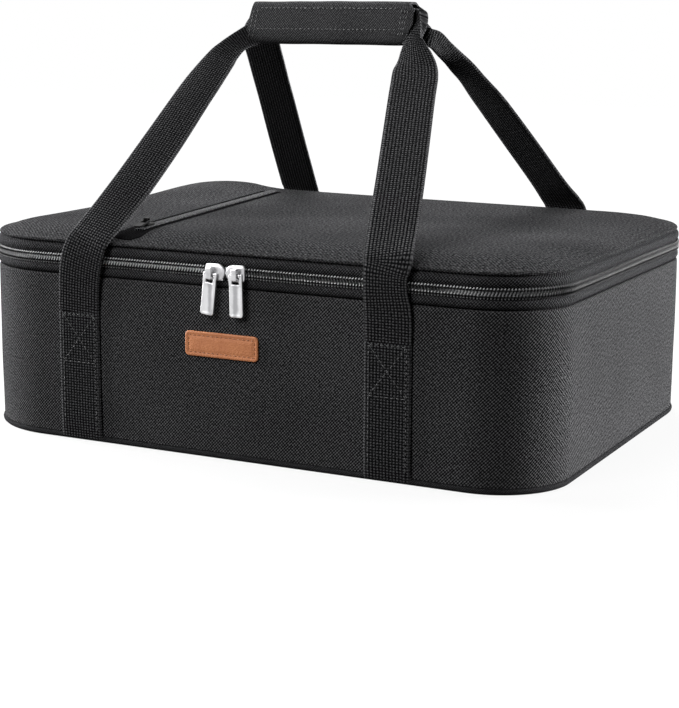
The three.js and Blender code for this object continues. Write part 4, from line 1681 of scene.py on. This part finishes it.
@dataclass
class Handle:
    """One webbing handle: two sewn stretches and the loop between them."""

    layout: Layout
    face: str
    body: Body
    stations: tuple[StrapStation, ...]
    box_foot: float = 53 * MM
    stitch_inset: float = 3.2 * MM
    station_steps: int = 9
    sewn_rows: int = 12
    under: float = 2 * MM
    over: float = 0.3 * MM
    tuck: float = 0.9 * MM
    stitch: Stitching = Stitching(2.6 * MM, 0.9 * MM, 0.7 * MM, 0.1 * MM)

    def build(self) -> list[Ridden]:
        """Return the sewn stretches and their stitches. The loop is made too and rides on no body."""
        self.loop()
        pieces = [self.sewn("left"), self.sewn("right"), self.boxes()]
        return [(piece, Body.BOX) for piece in pieces]

    @staticmethod
    def section() -> Line:
        """Return the webbing's outline for unit width and thickness, with rounded selvedges."""
        top = [(x, 0.5) for x in (0.47, 0.36, 0.18, 0.0, -0.18, -0.36, -0.47)]
        left = [(-0.492, 0.36), (-0.5, 0.0), (-0.492, -0.36)]
        return top + left + [(-x, -y) for x, y in top] + [(-x, -y) for x, y in left]

    @property
    def outward(self) -> int:
        """Return -1 for the front handle and 1 for the back one."""
        return -1 if self.face == "front" else 1

    def ribbon(self, name: str, node: str, places: Sequence[StrapPlace], held: Held, on: str) -> Piece:
        """Make webbing through places.

        Args:
            name: The piece's name.
            node: The CAD node that it stands for.
            places: Point, across, width, thickness and cup of each row.
            held: How it is held.
            on: The CAD node that it rests on.

        Returns:
            The webbing.
        """
        section = self.section()
        points = [place[0] for place in places]
        marks = lengths(points)
        frames = []
        for (_, across, width, thickness, cup), ahead in zip(places, headings(points)):
            side = (across - ahead * across.dot(ahead)).normalized()
            frames.append((side, side.cross(ahead), width, thickness, cup))

        def place(column: int, row: int) -> Vector:
            x, y = section[column]
            side, out, width, thickness, cup = frames[row]
            bend = cup * (4 * x * x - 0.4)
            return points[row] + side * (x * width) + out * (y * thickness - bend)

        def mark(column: int, row: int) -> Pair:
            x, y = section[column % len(section)]
            return x * self.layout.strap_width, marks[row] + 0.5 * y * MM

        form = Form().draw(len(section), len(places), place, mark)
        piece = form.dress(name, WEBBING, Slot.WEBBING, node)
        return Cut(self.layout.strap_width, marks[-1], held, on).declare(piece)

    def loop(self) -> None:
        """Make the loop, which runs up from the box above the stitching to the grip. It rides on no body."""
        count = self.station_steps * (len(self.stations) - 1)
        places = [station_between(self.stations, i / self.station_steps) for i in range(count + 1)]
        names = f"{self.face}_handle_webbing", f"{self.face}_strap_loop"
        piece = self.ribbon(*names, places, Held.HUNG, f"{self.face}_left_strap")
        y = self.stations[0].point[1] * MM
        sewn, free = (0, y, self.layout.sewn_top), (0, y, self.layout.lid_foot)
        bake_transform(piece)
        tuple(sewn)
        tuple(free)

    def sewn(self, side: str) -> Piece:
        """Make a stretch that is sewn flat to the wall, tucked under the welt."""
        node = f"{self.face}_{side}_strap"
        low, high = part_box(node)
        middle = (low + high) / 2
        places = []
        for i in range(self.sewn_rows + 1):
            rise = (high.z + self.over - low.z + self.under) * i / self.sewn_rows
            tuck = self.tuck * max(0.0, 1 - i / 1.5) * -self.outward
            point = Vector((middle.x, middle.y + tuck, low.z - self.under + rise))
            places.append((point, Vector(RIGHTWARD), high.x - low.x, high.y - low.y, 0.0))
        return self.ribbon(f"{node}_webbing", node, places, Held.LAID, "wall_fabric")

    def boxes(self) -> Piece:
        """Sew a box and a cross on each stretch, and a row along each of its edges."""
        form = Form()
        for side in ("left", "right"):
            low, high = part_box(f"{self.face}_{side}_strap")
            out = Vector((0, self.outward, 0))
            y = low.y if self.outward < 0 else high.y
            left, right = low.x + self.stitch_inset, high.x - self.stitch_inset
            foot, top = self.box_foot, high.z - 1.5 * MM
            corners = [Vector((x, y, z)) for x, z in ((left, foot), (right, foot), (right, top), (left, top))]
            lines = [(corners[i], corners[(i + 1) % 4]) for i in range(4)]
            lines += [(corners[0], corners[2]), (corners[1], corners[3])]
            lines += [(Vector((x, y, low.z + 3 * MM)), Vector((x, y, foot))) for x in (left, right)]
            for start, end in lines:
                self.stitch.sew(form, [start, end], [out, out])
        return form.dress(f"{self.face}_strap_stitches", BLACK_THREAD, Slot.WEBBING, sharp=Edge.THREAD)


def stations(*rows: tuple) -> tuple[StrapStation, ...]:
    """Return strap stations from rows of their values."""
    return tuple(StrapStation(*row) for row in rows)


RIGHTWARD = (1.0, 0.0, 0.0)
LEFTWARD = (-1.0, 0.0, 0.0)
DOWNWARD = (0.0, 0.0, -1.0)
TURNED = (-0.996, -0.052, 0.066)
IN_GRIP = (DOWNWARD, 22.0, 3.2)
FRONT_STATIONS = stations(
    ((-111.5, -161.5, 86.6),),
    ((-110.2, -162.6, 104.0),),
    ((-107.8, -163.9, 117.0),),
    ((-104.8, -164.0, 127.0),),
    ((-101.8, -161.5, 135.5),),
    ((-99.0, -153.5, 143.5), (0.98, 0.2, 0.0), 30.0, 2.0, 0.8),
    ((-96.0, -138.0, 156.0), (0.92, 0.38, 0.0), 28.4, 2.0, 1.6),
    ((-93.1, -121.0, 170.0), (0.89, 0.45, 0.0), 28.2, 2.0, 1.8),
    ((-90.4, -91.0, 194.0), (0.89, 0.45, 0.0), 28.0, 2.0, 1.8),
    ((-88.6, -59.0, 219.6), (0.92, 0.4, 0.0), 27.0, 2.0, 1.8),
    ((-87.2, -42.7, 232.6), (0.93, 0.36, 0.0), 26.2, 2.0, 1.6),
    ((-84.6, -26.0, 246.0), (0.93, 0.3, -0.15), 22.0, 2.2, 1.4),
    ((-81.5, -18.5, 252.7), (0.85, 0.2, -0.4), 17.5, 2.6, 1.0),
    ((-77.0, -11.5, 258.5), (0.65, 0.1, -0.7), 14.5, 3.0),
    ((-70.0, -5.0, 263.5), (0.35, 0.0, -0.94), 16.0, 3.0),
    ((-61.0, -1.0, 268.0), (0.1, 0.0, -1.0), 20.0, 3.2),
    ((-50.0, 0.3, 270.0), *IN_GRIP),
    ((-4.5, 0.4, 270.7), *IN_GRIP),
    ((40.0, 0.3, 271.7), *IN_GRIP),
    ((50.0, 0.0, 274.0), DOWNWARD, 16.0, 5.0),
    ((56.6, -1.0, 274.8), (-0.1, 0.0, -1.0), 12.5, 6.5),
    ((58.8, -4.5, 270.5), (-0.6, 0.0, -0.75), 8.0, 6.0),
    ((58.5, -8.5, 265.0), LEFTWARD, 6.5, 5.0),
    ((57.8, -12.0, 260.3), LEFTWARD, 13.0, 4.0, 1.0),
    ((60.0, -17.5, 255.0), LEFTWARD, 19.0, 3.0, 1.6),
    ((62.8, -22.5, 249.5), LEFTWARD, 24.5, 2.2, 1.4),
    ((66.0, -29.0, 243.5), TURNED, 29.5, 2.0, 0.8),
    ((70.2, -38.5, 236.0), TURNED, 31.5, 2.0, 0.3),
    ((75.2, -53.7, 223.8), TURNED),
    ((85.2, -83.0, 200.4), TURNED),
    ((94.7, -111.0, 178.0), TURNED),
    ((104.0, -139.5, 155.5), TURNED),
    ((110.3, -158.5, 141.0), LEFTWARD),
    ((111.5, -163.0, 134.5), LEFTWARD),
    ((110.5, -164.2, 127.0), LEFTWARD, 29.4),
    ((110.5, -163.9, 117.0), LEFTWARD, 29.4),
    ((111.5, -162.4, 104.0), LEFTWARD),
    ((111.5, -161.5, 86.6), LEFTWARD),
)
BACK_STATIONS = stations(
    ((-111.5, 161.5, 86.6),),
    ((-114.5, 163.4, 112.0),),
    ((-118.0, 163.8, 126.0),),
    ((-120.5, 161.5, 136.5),),
    ((-117.7, 150.9, 146.0),),
    ((-103.5, 106.6, 181.5), RIGHTWARD, 30.5),
    ((-89.9, 65.5, 214.4), RIGHTWARD, 29.3),
    ((-83.7, 46.0, 230.0), RIGHTWARD, 28.8),
    ((-77.6, 27.4, 245.0), RIGHTWARD, 28.6),
    ((-73.5, 14.5, 255.5), RIGHTWARD, 28.6),
    ((-70.8, 8.0, 262.0), RIGHTWARD, 28.0, 2.2),
    ((-66.0, 4.5, 268.0), (0.9, 0.0, -0.4), 24.0, 2.6),
    ((-54.0, 4.2, 270.5), (0.3, 0.0, -0.95), 20.0, 3.0),
    ((-30.0, 4.1, 270.7), *IN_GRIP),
    ((-4.5, 4.1, 270.7), *IN_GRIP),
    ((40.0, 4.1, 271.0), *IN_GRIP),
    ((51.0, 4.2, 268.5), DOWNWARD, 17.0, 3.6),
    ((59.7, 4.0, 263.3), DOWNWARD, 12.5, 4.0),
    ((64.0, 9.5, 260.6), (-0.15, 0.0, -0.98), 13.0, 3.4),
    ((66.8, 18.5, 254.2), (-0.45, 0.1, -0.85), 13.0, 3.0, 0.8),
    ((70.4, 27.5, 247.1), (-0.72, 0.12, -0.55), 14.5, 2.6, 1.2),
    ((76.5, 40.0, 235.5), (-0.95, 0.14, 0.0), 22.5, 2.0, 1.2),
    ((82.9, 59.4, 219.3), (-0.985, 0.1, 0.12), 29.5, 2.0, 0.6),
    ((91.4, 96.7, 189.4), (-0.99, 0.08, 0.1), 31.0),
    ((99.6, 136.3, 157.7), (-0.99, 0.07, 0.08)),
    ((103.5, 155.0, 143.0), LEFTWARD),
    ((105.5, 162.0, 135.5), LEFTWARD),
    ((108.0, 163.8, 125.0), LEFTWARD),
    ((110.0, 163.2, 110.0), LEFTWARD),
    ((111.5, 161.5, 86.6), LEFTWARD),
)


@dataclass
class Grip:
    """The cloth wrap that holds both handles together, and the flap that closes it."""

    cloth: float = 1.4 * MM
    slant: float = 8.0 * MM
    corner_cut: float = 10.0 * MM
    end_trim: float = 5.4 * MM
    aside: float = -1.2 * MM
    round_corner: float = 3.5 * MM
    puff: float = 0.45 * MM
    steps: int = 56
    left_rows: tuple[float, ...] = (2.4 * MM, 5.4 * MM)
    right_rows: tuple[float, ...] = (4.6 * MM, 7.0 * MM, 9.4 * MM)
    stitch: Stitching = Stitching(2.3 * MM, 1.0 * MM, 0.65 * MM, 0.1 * MM)

    def build(self) -> list[Ridden]:
        """Return the grip's pieces with the body that each rides on."""
        return [
            (self.sheet("grip_wrap_cloth", self.wrap_line(), "grip_wrap"), Body.FRONT_HANDLE),
            (self.tape("grip_loop_tape", "grip_loops"), Body.FRONT_HANDLE),
            (self.sheet("grip_flap_cloth", self.flap_line(), "grip_flap"), Body.GRIP_FLAP),
            (self.tape("grip_hook_tape", "grip_hooks"), Body.GRIP_FLAP),
            (self.stitches(), Body.GRIP_FLAP),
        ]

    def flap_line(self) -> list[Vector]:
        """Return the flap's outer line in the YZ plane, from its hinge over the top to the roll below."""
        low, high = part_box("grip_flap")
        corners = (
            (high.y + 0.3 * MM, high.z - 5 * MM),
            (high.y, high.z + 1.8 * MM),
            (low.y, high.z + 1.8 * MM),
            (low.y - 0.8 * MM, low.z + 8.5 * MM),
            (low.y + 1.2 * MM, low.z - 0.4 * MM),
            (low.y + 8 * MM, low.z - 0.6 * MM),
        )
        return rounded([Vector((0, *corner)) for corner in corners], 4.5 * MM)

    def wrap_line(self) -> list[Vector]:
        """Return the wrap's outer line in the YZ plane, from its lip under the webbing and up the back."""
        low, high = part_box("grip_wrap")
        foot = low.z + 0.4 * MM
        corners = (low.y, low.z + 14 * MM), (low.y, foot), (high.y, foot), (high.y, high.z)
        return rounded([Vector((0, *corner)) for corner in corners], 3.0 * MM)

    def shift(self, share: float, drop: float) -> float:
        """Return how far the cloth's edge is moved to the right.

        Args:
            share: 0 at the grip's left end, 1 at its right end.
            drop: 0 at its top, 1 at its foot.

        Returns:
            The move: the left end slants and has a round corner, and the right end's lower corner is cut.
        """
        slanted = -self.slant * (1 - share) ** 3 * drop
        round_left = self.round_corner * (1 - share) ** 12 * (max(drop - 0.75, 0) / 0.25) ** 2
        cut_right = -self.corner_cut * share**10 * max(drop - 0.45, 0) / 0.55
        trim = self.end_trim * share**10 * (1 - 0.75 * ease(drop / 0.12))
        return slanted + round_left + cut_right + self.aside - trim

    def sheet(self, name: str, line: Sequence[Vector], node: str) -> Piece:
        """Draw a line out along the grip as soft cloth.

        Args:
            name: The piece's name.
            line: The outer line in the YZ plane, with the cloth's thickness at its right.
            node: The CAD node that it stands for.

        Returns:
            The cloth.
        """
        low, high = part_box(node)
        outward = [Vector((0, ahead.z, -ahead.y)) for ahead in headings(line)]
        inner = [p - n * self.cloth for p, n in zip(line, outward)]
        section = list(line) + inner[::-1]
        outward += [n * 0.6 for n in outward[::-1]]
        marks = lengths(line)
        length, marks = marks[-1], marks + marks[::-1]
        span = high.x - low.x

        def place(column: int, row: int) -> Vector:
            share = row / self.steps
            point = section[column]
            drop = clamp((high.z - point.z) / (high.z - low.z))
            spot = Vector((low.x + span * share, point.y, point.z))
            puff = self.puff * math.sin(math.pi * share) ** 0.5 + ripple(spot, 26 * MM, 0.5 * MM, 8.0)
            return spot + outward[column] * puff + Vector((self.shift(share, drop), 0, 0))

        def mark(column: int, row: int) -> Pair:
            return span * row / self.steps, marks[column % len(section)]

        form = Form().draw(len(section), self.steps + 1, place, mark)
        piece = form.dress(name, GRIP_CLOTH, Slot.OUTER_FABRIC, node)
        return Cut(length, span, Held.FOLDED, "front_strap_loop").declare(piece)

    def tape(self, node: str, name: str) -> Piece:
        """Make one strip of hook-and-loop tape."""
        low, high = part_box(node)
        form = Form()
        form.block(low, high, 0.4 * MM)
        piece = form.dress(name, FUZZ, Slot.HOOK_TAPE, node, sharp=Edge.CAST)
        on = "grip_flap" if node == "grip_hook_tape" else "grip_wrap"
        return Cut(high.z - low.z, high.x - low.x, Held.LAID, on).declare(piece)

    def stitches(self) -> Piece:
        """Sew the flap: a row along the top and the tape, and rows up its left and right end."""
        low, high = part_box("grip_flap")
        out = Vector((0, -1, 0))
        y = low.y - 1.1 * MM
        form = Form()

        def row(start: Pair, end: Pair) -> None:
            line = []
            for x, z in (start, end):
                share, drop = (x - low.x) / (high.x - low.x), (high.z - z) / (high.z - low.z)
                line.append(Vector((x + self.shift(share, drop), y, z)))
            self.stitch.sew(form, line, [out, out])

        lower, upper = low.z + 9.5 * MM, high.z - 2.4 * MM
        for height in (lower, upper):
            row((low.x + 7 * MM, height), (high.x - 12.5 * MM, height))
        for inset in self.left_rows:
            row((low.x + inset, low.z + 3 * MM), (low.x + inset, high.z - 3 * MM))
        for inset in self.right_rows:
            row((high.x - inset, low.z + 5 * MM), (high.x - inset, high.z - 3 * MM))
        return form.dress("grip_stitches", GRIP_THREAD, Slot.OUTER_FABRIC, sharp=Edge.THREAD)


@dataclass
class Patch:
    """The blank leather patch on the front."""

    corner: float = 3.0 * MM
    margin: float = 2.6 * MM
    stitch: Stitching = Stitching(2.2 * MM, 1.0 * MM, 0.6 * MM, 0.08 * MM)

    def build(self) -> list[Ridden]:
        """Return the patch and its stitches with the body that each rides on."""
        return [(self.leather(), Body.BOX), (self.stitches(), Body.BOX)]

    def leather(self) -> Piece:
        """Make the patch: a rounded edge, a raised rim and a dip along the stitches."""
        low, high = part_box("leather_patch")
        thick = (high.y - low.y) / MM
        levels = ((0.2, 0.0), (0.0, 0.5), (0.0, thick - 0.5), (0.25, thick - 0.12), (0.8, thick))
        levels += ((1.7, thick - 0.05), (2.6, thick - 0.35), (3.5, thick - 0.1), (5.0, thick))
        form = Form()
        form.plate((low.x, low.z), (high.x, high.z), (self.corner,) * 4, levels, FACING_FRONT, high.y)
        piece = form.dress("patch_leather", LEATHER, Slot.LEATHER, "leather_patch", sharp=Edge.FOLD)
        return Cut(high.z - low.z, high.x - low.x, Held.LAID, "wall_fabric").declare(piece)

    def stitches(self) -> Piece:
        """Sew round the patch."""
        low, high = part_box("leather_patch")
        outline = plate_outline((low.x, low.z), (high.x, high.z), (self.corner,) * 4, self.margin)
        line = [Vector((x, low.y + 0.25 * MM, z)) for x, z in outline]
        line.append(line[0].copy())
        form = Form()
        self.stitch.sew(form, line, [Vector((0, -1, 0))] * len(line))
        return form.dress("patch_stitches", TAN_THREAD, Slot.LEATHER, sharp=Edge.THREAD)


@dataclass(frozen=True)
class AreaLamp:
    """A soft box of light."""

    name: str
    place: Triple
    size: Pair
    power: float
    target: Triple = (0.0, 0.0, 0.1)

    def hang(self) -> None:
        """Add the lamp to the scene."""
        data = bpy.data.lights.new(self.name, "AREA")
        data.shape = "RECTANGLE"
        data.size, data.size_y = self.size
        data.energy = self.power
        lamp = added(self.name, data)
        lamp.location = self.place
        lamp.rotation_euler = (Vector(self.target) - Vector(self.place)).to_track_quat("-Z", "Y").to_euler()


@dataclass
class Studio:
    """Floor, lamps, surroundings and the camera at the photograph's viewing angle."""

    camera_place: Triple = (0.5367, -1.0622, 0.2785)
    yaw: float = math.radians(26.93)
    pitch: float = math.radians(11.31)
    roll: float = math.radians(0.31)
    lens: float = 86.72
    floor_size: float = 8.0
    ambient: float = 0.03
    tint: tuple[float, ...] = (0.9, 0.95, 1.0, 1.0)
    lamps: tuple[AreaLamp, ...] = (
        AreaLamp("right_box", (1.48, 0.85, 0.3), (0.8, 0.6), 97.0),
        AreaLamp("front_fill", (-0.5, -2.0, 1.5), (1.2, 1.0), 41.5),
        AreaLamp("left_box", (-1.8, -0.1, 0.6), (1.0, 1.0), 138.0),
        AreaLamp("back_top_box", (-0.8, 1.0, 1.64), (1.2, 1.2), 93.0),
    )

    def build(self) -> None:
        """Set up everything that isn't the object."""
        bpy.context.scene.view_settings.view_transform = "Standard"
        self.floor()
        self.world()
        self.camera()
        for lamp in self.lamps:
            lamp.hang()

    @staticmethod
    def seen(graph: Graph) -> Wire:
        """Return 1 for what is seen straight, in a reflection or through something, and 0 for light."""
        kinds = ("Camera", "Glossy", "Transmission")
        rays = [graph.add("ShaderNodeLightPath", {}, {}, f"Is {kind} Ray") for kind in kinds]
        return rays[0].larger(rays[1]).larger(rays[2])

    def floor(self) -> None:
        """Lay a pale floor that is white to the eye and keeps a faint shadow."""
        mesh = bmesh.new()
        bmesh.ops.create_grid(mesh, x_segments=1, y_segments=1, size=self.floor_size / 2)
        data = bpy.data.meshes.new("floor")
        mesh.to_mesh(data)
        mesh.free()
        graph = Graph(bpy.data.materials.new("pale floor"))
        seen = self.seen(graph)
        tone = graph.mix(seen, (0.05, 0.05, 0.05), (0.5, 0.5, 0.5))
        matte = graph.add("ShaderNodeBsdfPrincipled", {}, {"Base Color": tone, "Specular IOR Level": 0.0})
        white = graph.add("ShaderNodeEmission", {}, {"Color": WHITE, "Strength": 1.05})
        reach = graph.add("ShaderNodeVectorMath", {"operation": "LENGTH"}, {0: graph.place()}, "Value")
        share = seen * (0.85 + reach.between(0.5, 1.5) * 0.15)
        mixed = graph.add("ShaderNodeMixShader", {}, {0: share, 1: matte, 2: white})
        graph.add("ShaderNodeOutputMaterial", {}, {"Surface": mixed})
        data.materials.append(graph.owner)
        floor = added("floor", data)
        floor.location.z = -0.6 * MM
        floor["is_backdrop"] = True

    def world(self) -> None:
        """Make the surroundings white to the eye and in reflections, and a soft grey as light."""
        graph = Graph(bpy.data.worlds.new("studio"))
        bpy.context.scene.world = graph.owner
        tones = {"Color": self.tint, "Strength": self.ambient}, {"Color": WHITE, "Strength": 1.0}
        light, white = (graph.add("ShaderNodeBackground", {}, tone) for tone in tones)
        mixed = graph.add("ShaderNodeMixShader", {}, {0: self.seen(graph), 1: light, 2: white})
        graph.add("ShaderNodeOutputWorld", {}, {"Surface": mixed})

    def camera(self) -> None:
        """Set the camera where the photograph was taken from."""
        flat = math.cos(self.pitch)
        ahead = Vector((-math.sin(self.yaw) * flat, math.cos(self.yaw) * flat, -math.sin(self.pitch)))
        level = Vector((math.cos(self.yaw), math.sin(self.yaw), 0))
        above = level.cross(ahead)
        right = level * math.cos(self.roll) + above * math.sin(self.roll)
        up = right.cross(ahead)
        data = bpy.data.cameras.new("camera")
        data.lens = self.lens
        camera = added("camera", data)
        camera.matrix_world = Matrix.Translation(self.camera_place) @ axes(right, up, -ahead)
        bpy.context.scene.camera = camera


def corners(box: tuple[Vector, Vector]) -> list[list[float]]:
    """Return a box's two corners as plain lists."""
    return [list(corner) for corner in box]


def main() -> None:
    """Load the frame, dress the carrier and set the studio."""
    logging.basicConfig(level=logging.INFO, format="%(name)s: %(message)s")
    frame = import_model()
    log.info("frame loaded: %s", type(frame).__name__)
    cad_box = corners(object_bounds())
    layout = Layout.from_frame(radius=66 * MM, front_right=48 * MM)
    lid = Lid(layout)
    assemblies = [
        BoxShell(layout),
        Lining(layout),
        ZipRun(layout),
        lid,
        Pocket(lid),
        ZipSlider("left", Body.LEFT_SLIDER, Body.LEFT_PULL, math.radians(6.5)),
        ZipSlider("right", Body.RIGHT_SLIDER, Body.RIGHT_PULL, math.radians(-1)),
        Handle(layout, "front", Body.FRONT_HANDLE, FRONT_STATIONS),
        Handle(layout, "back", Body.BACK_HANDLE, BACK_STATIONS),
        Grip(),
        Patch(),
    ]
    for assembly in assemblies:
        for piece, body in assembly.build():
            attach(piece, body.value)
            log.info("%s rides on %s", piece.name, body.value)
    Studio().build()
    json.dumps({"cad": cad_box, "visual": corners(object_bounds())})


if __name__ == "__main__":
    main()
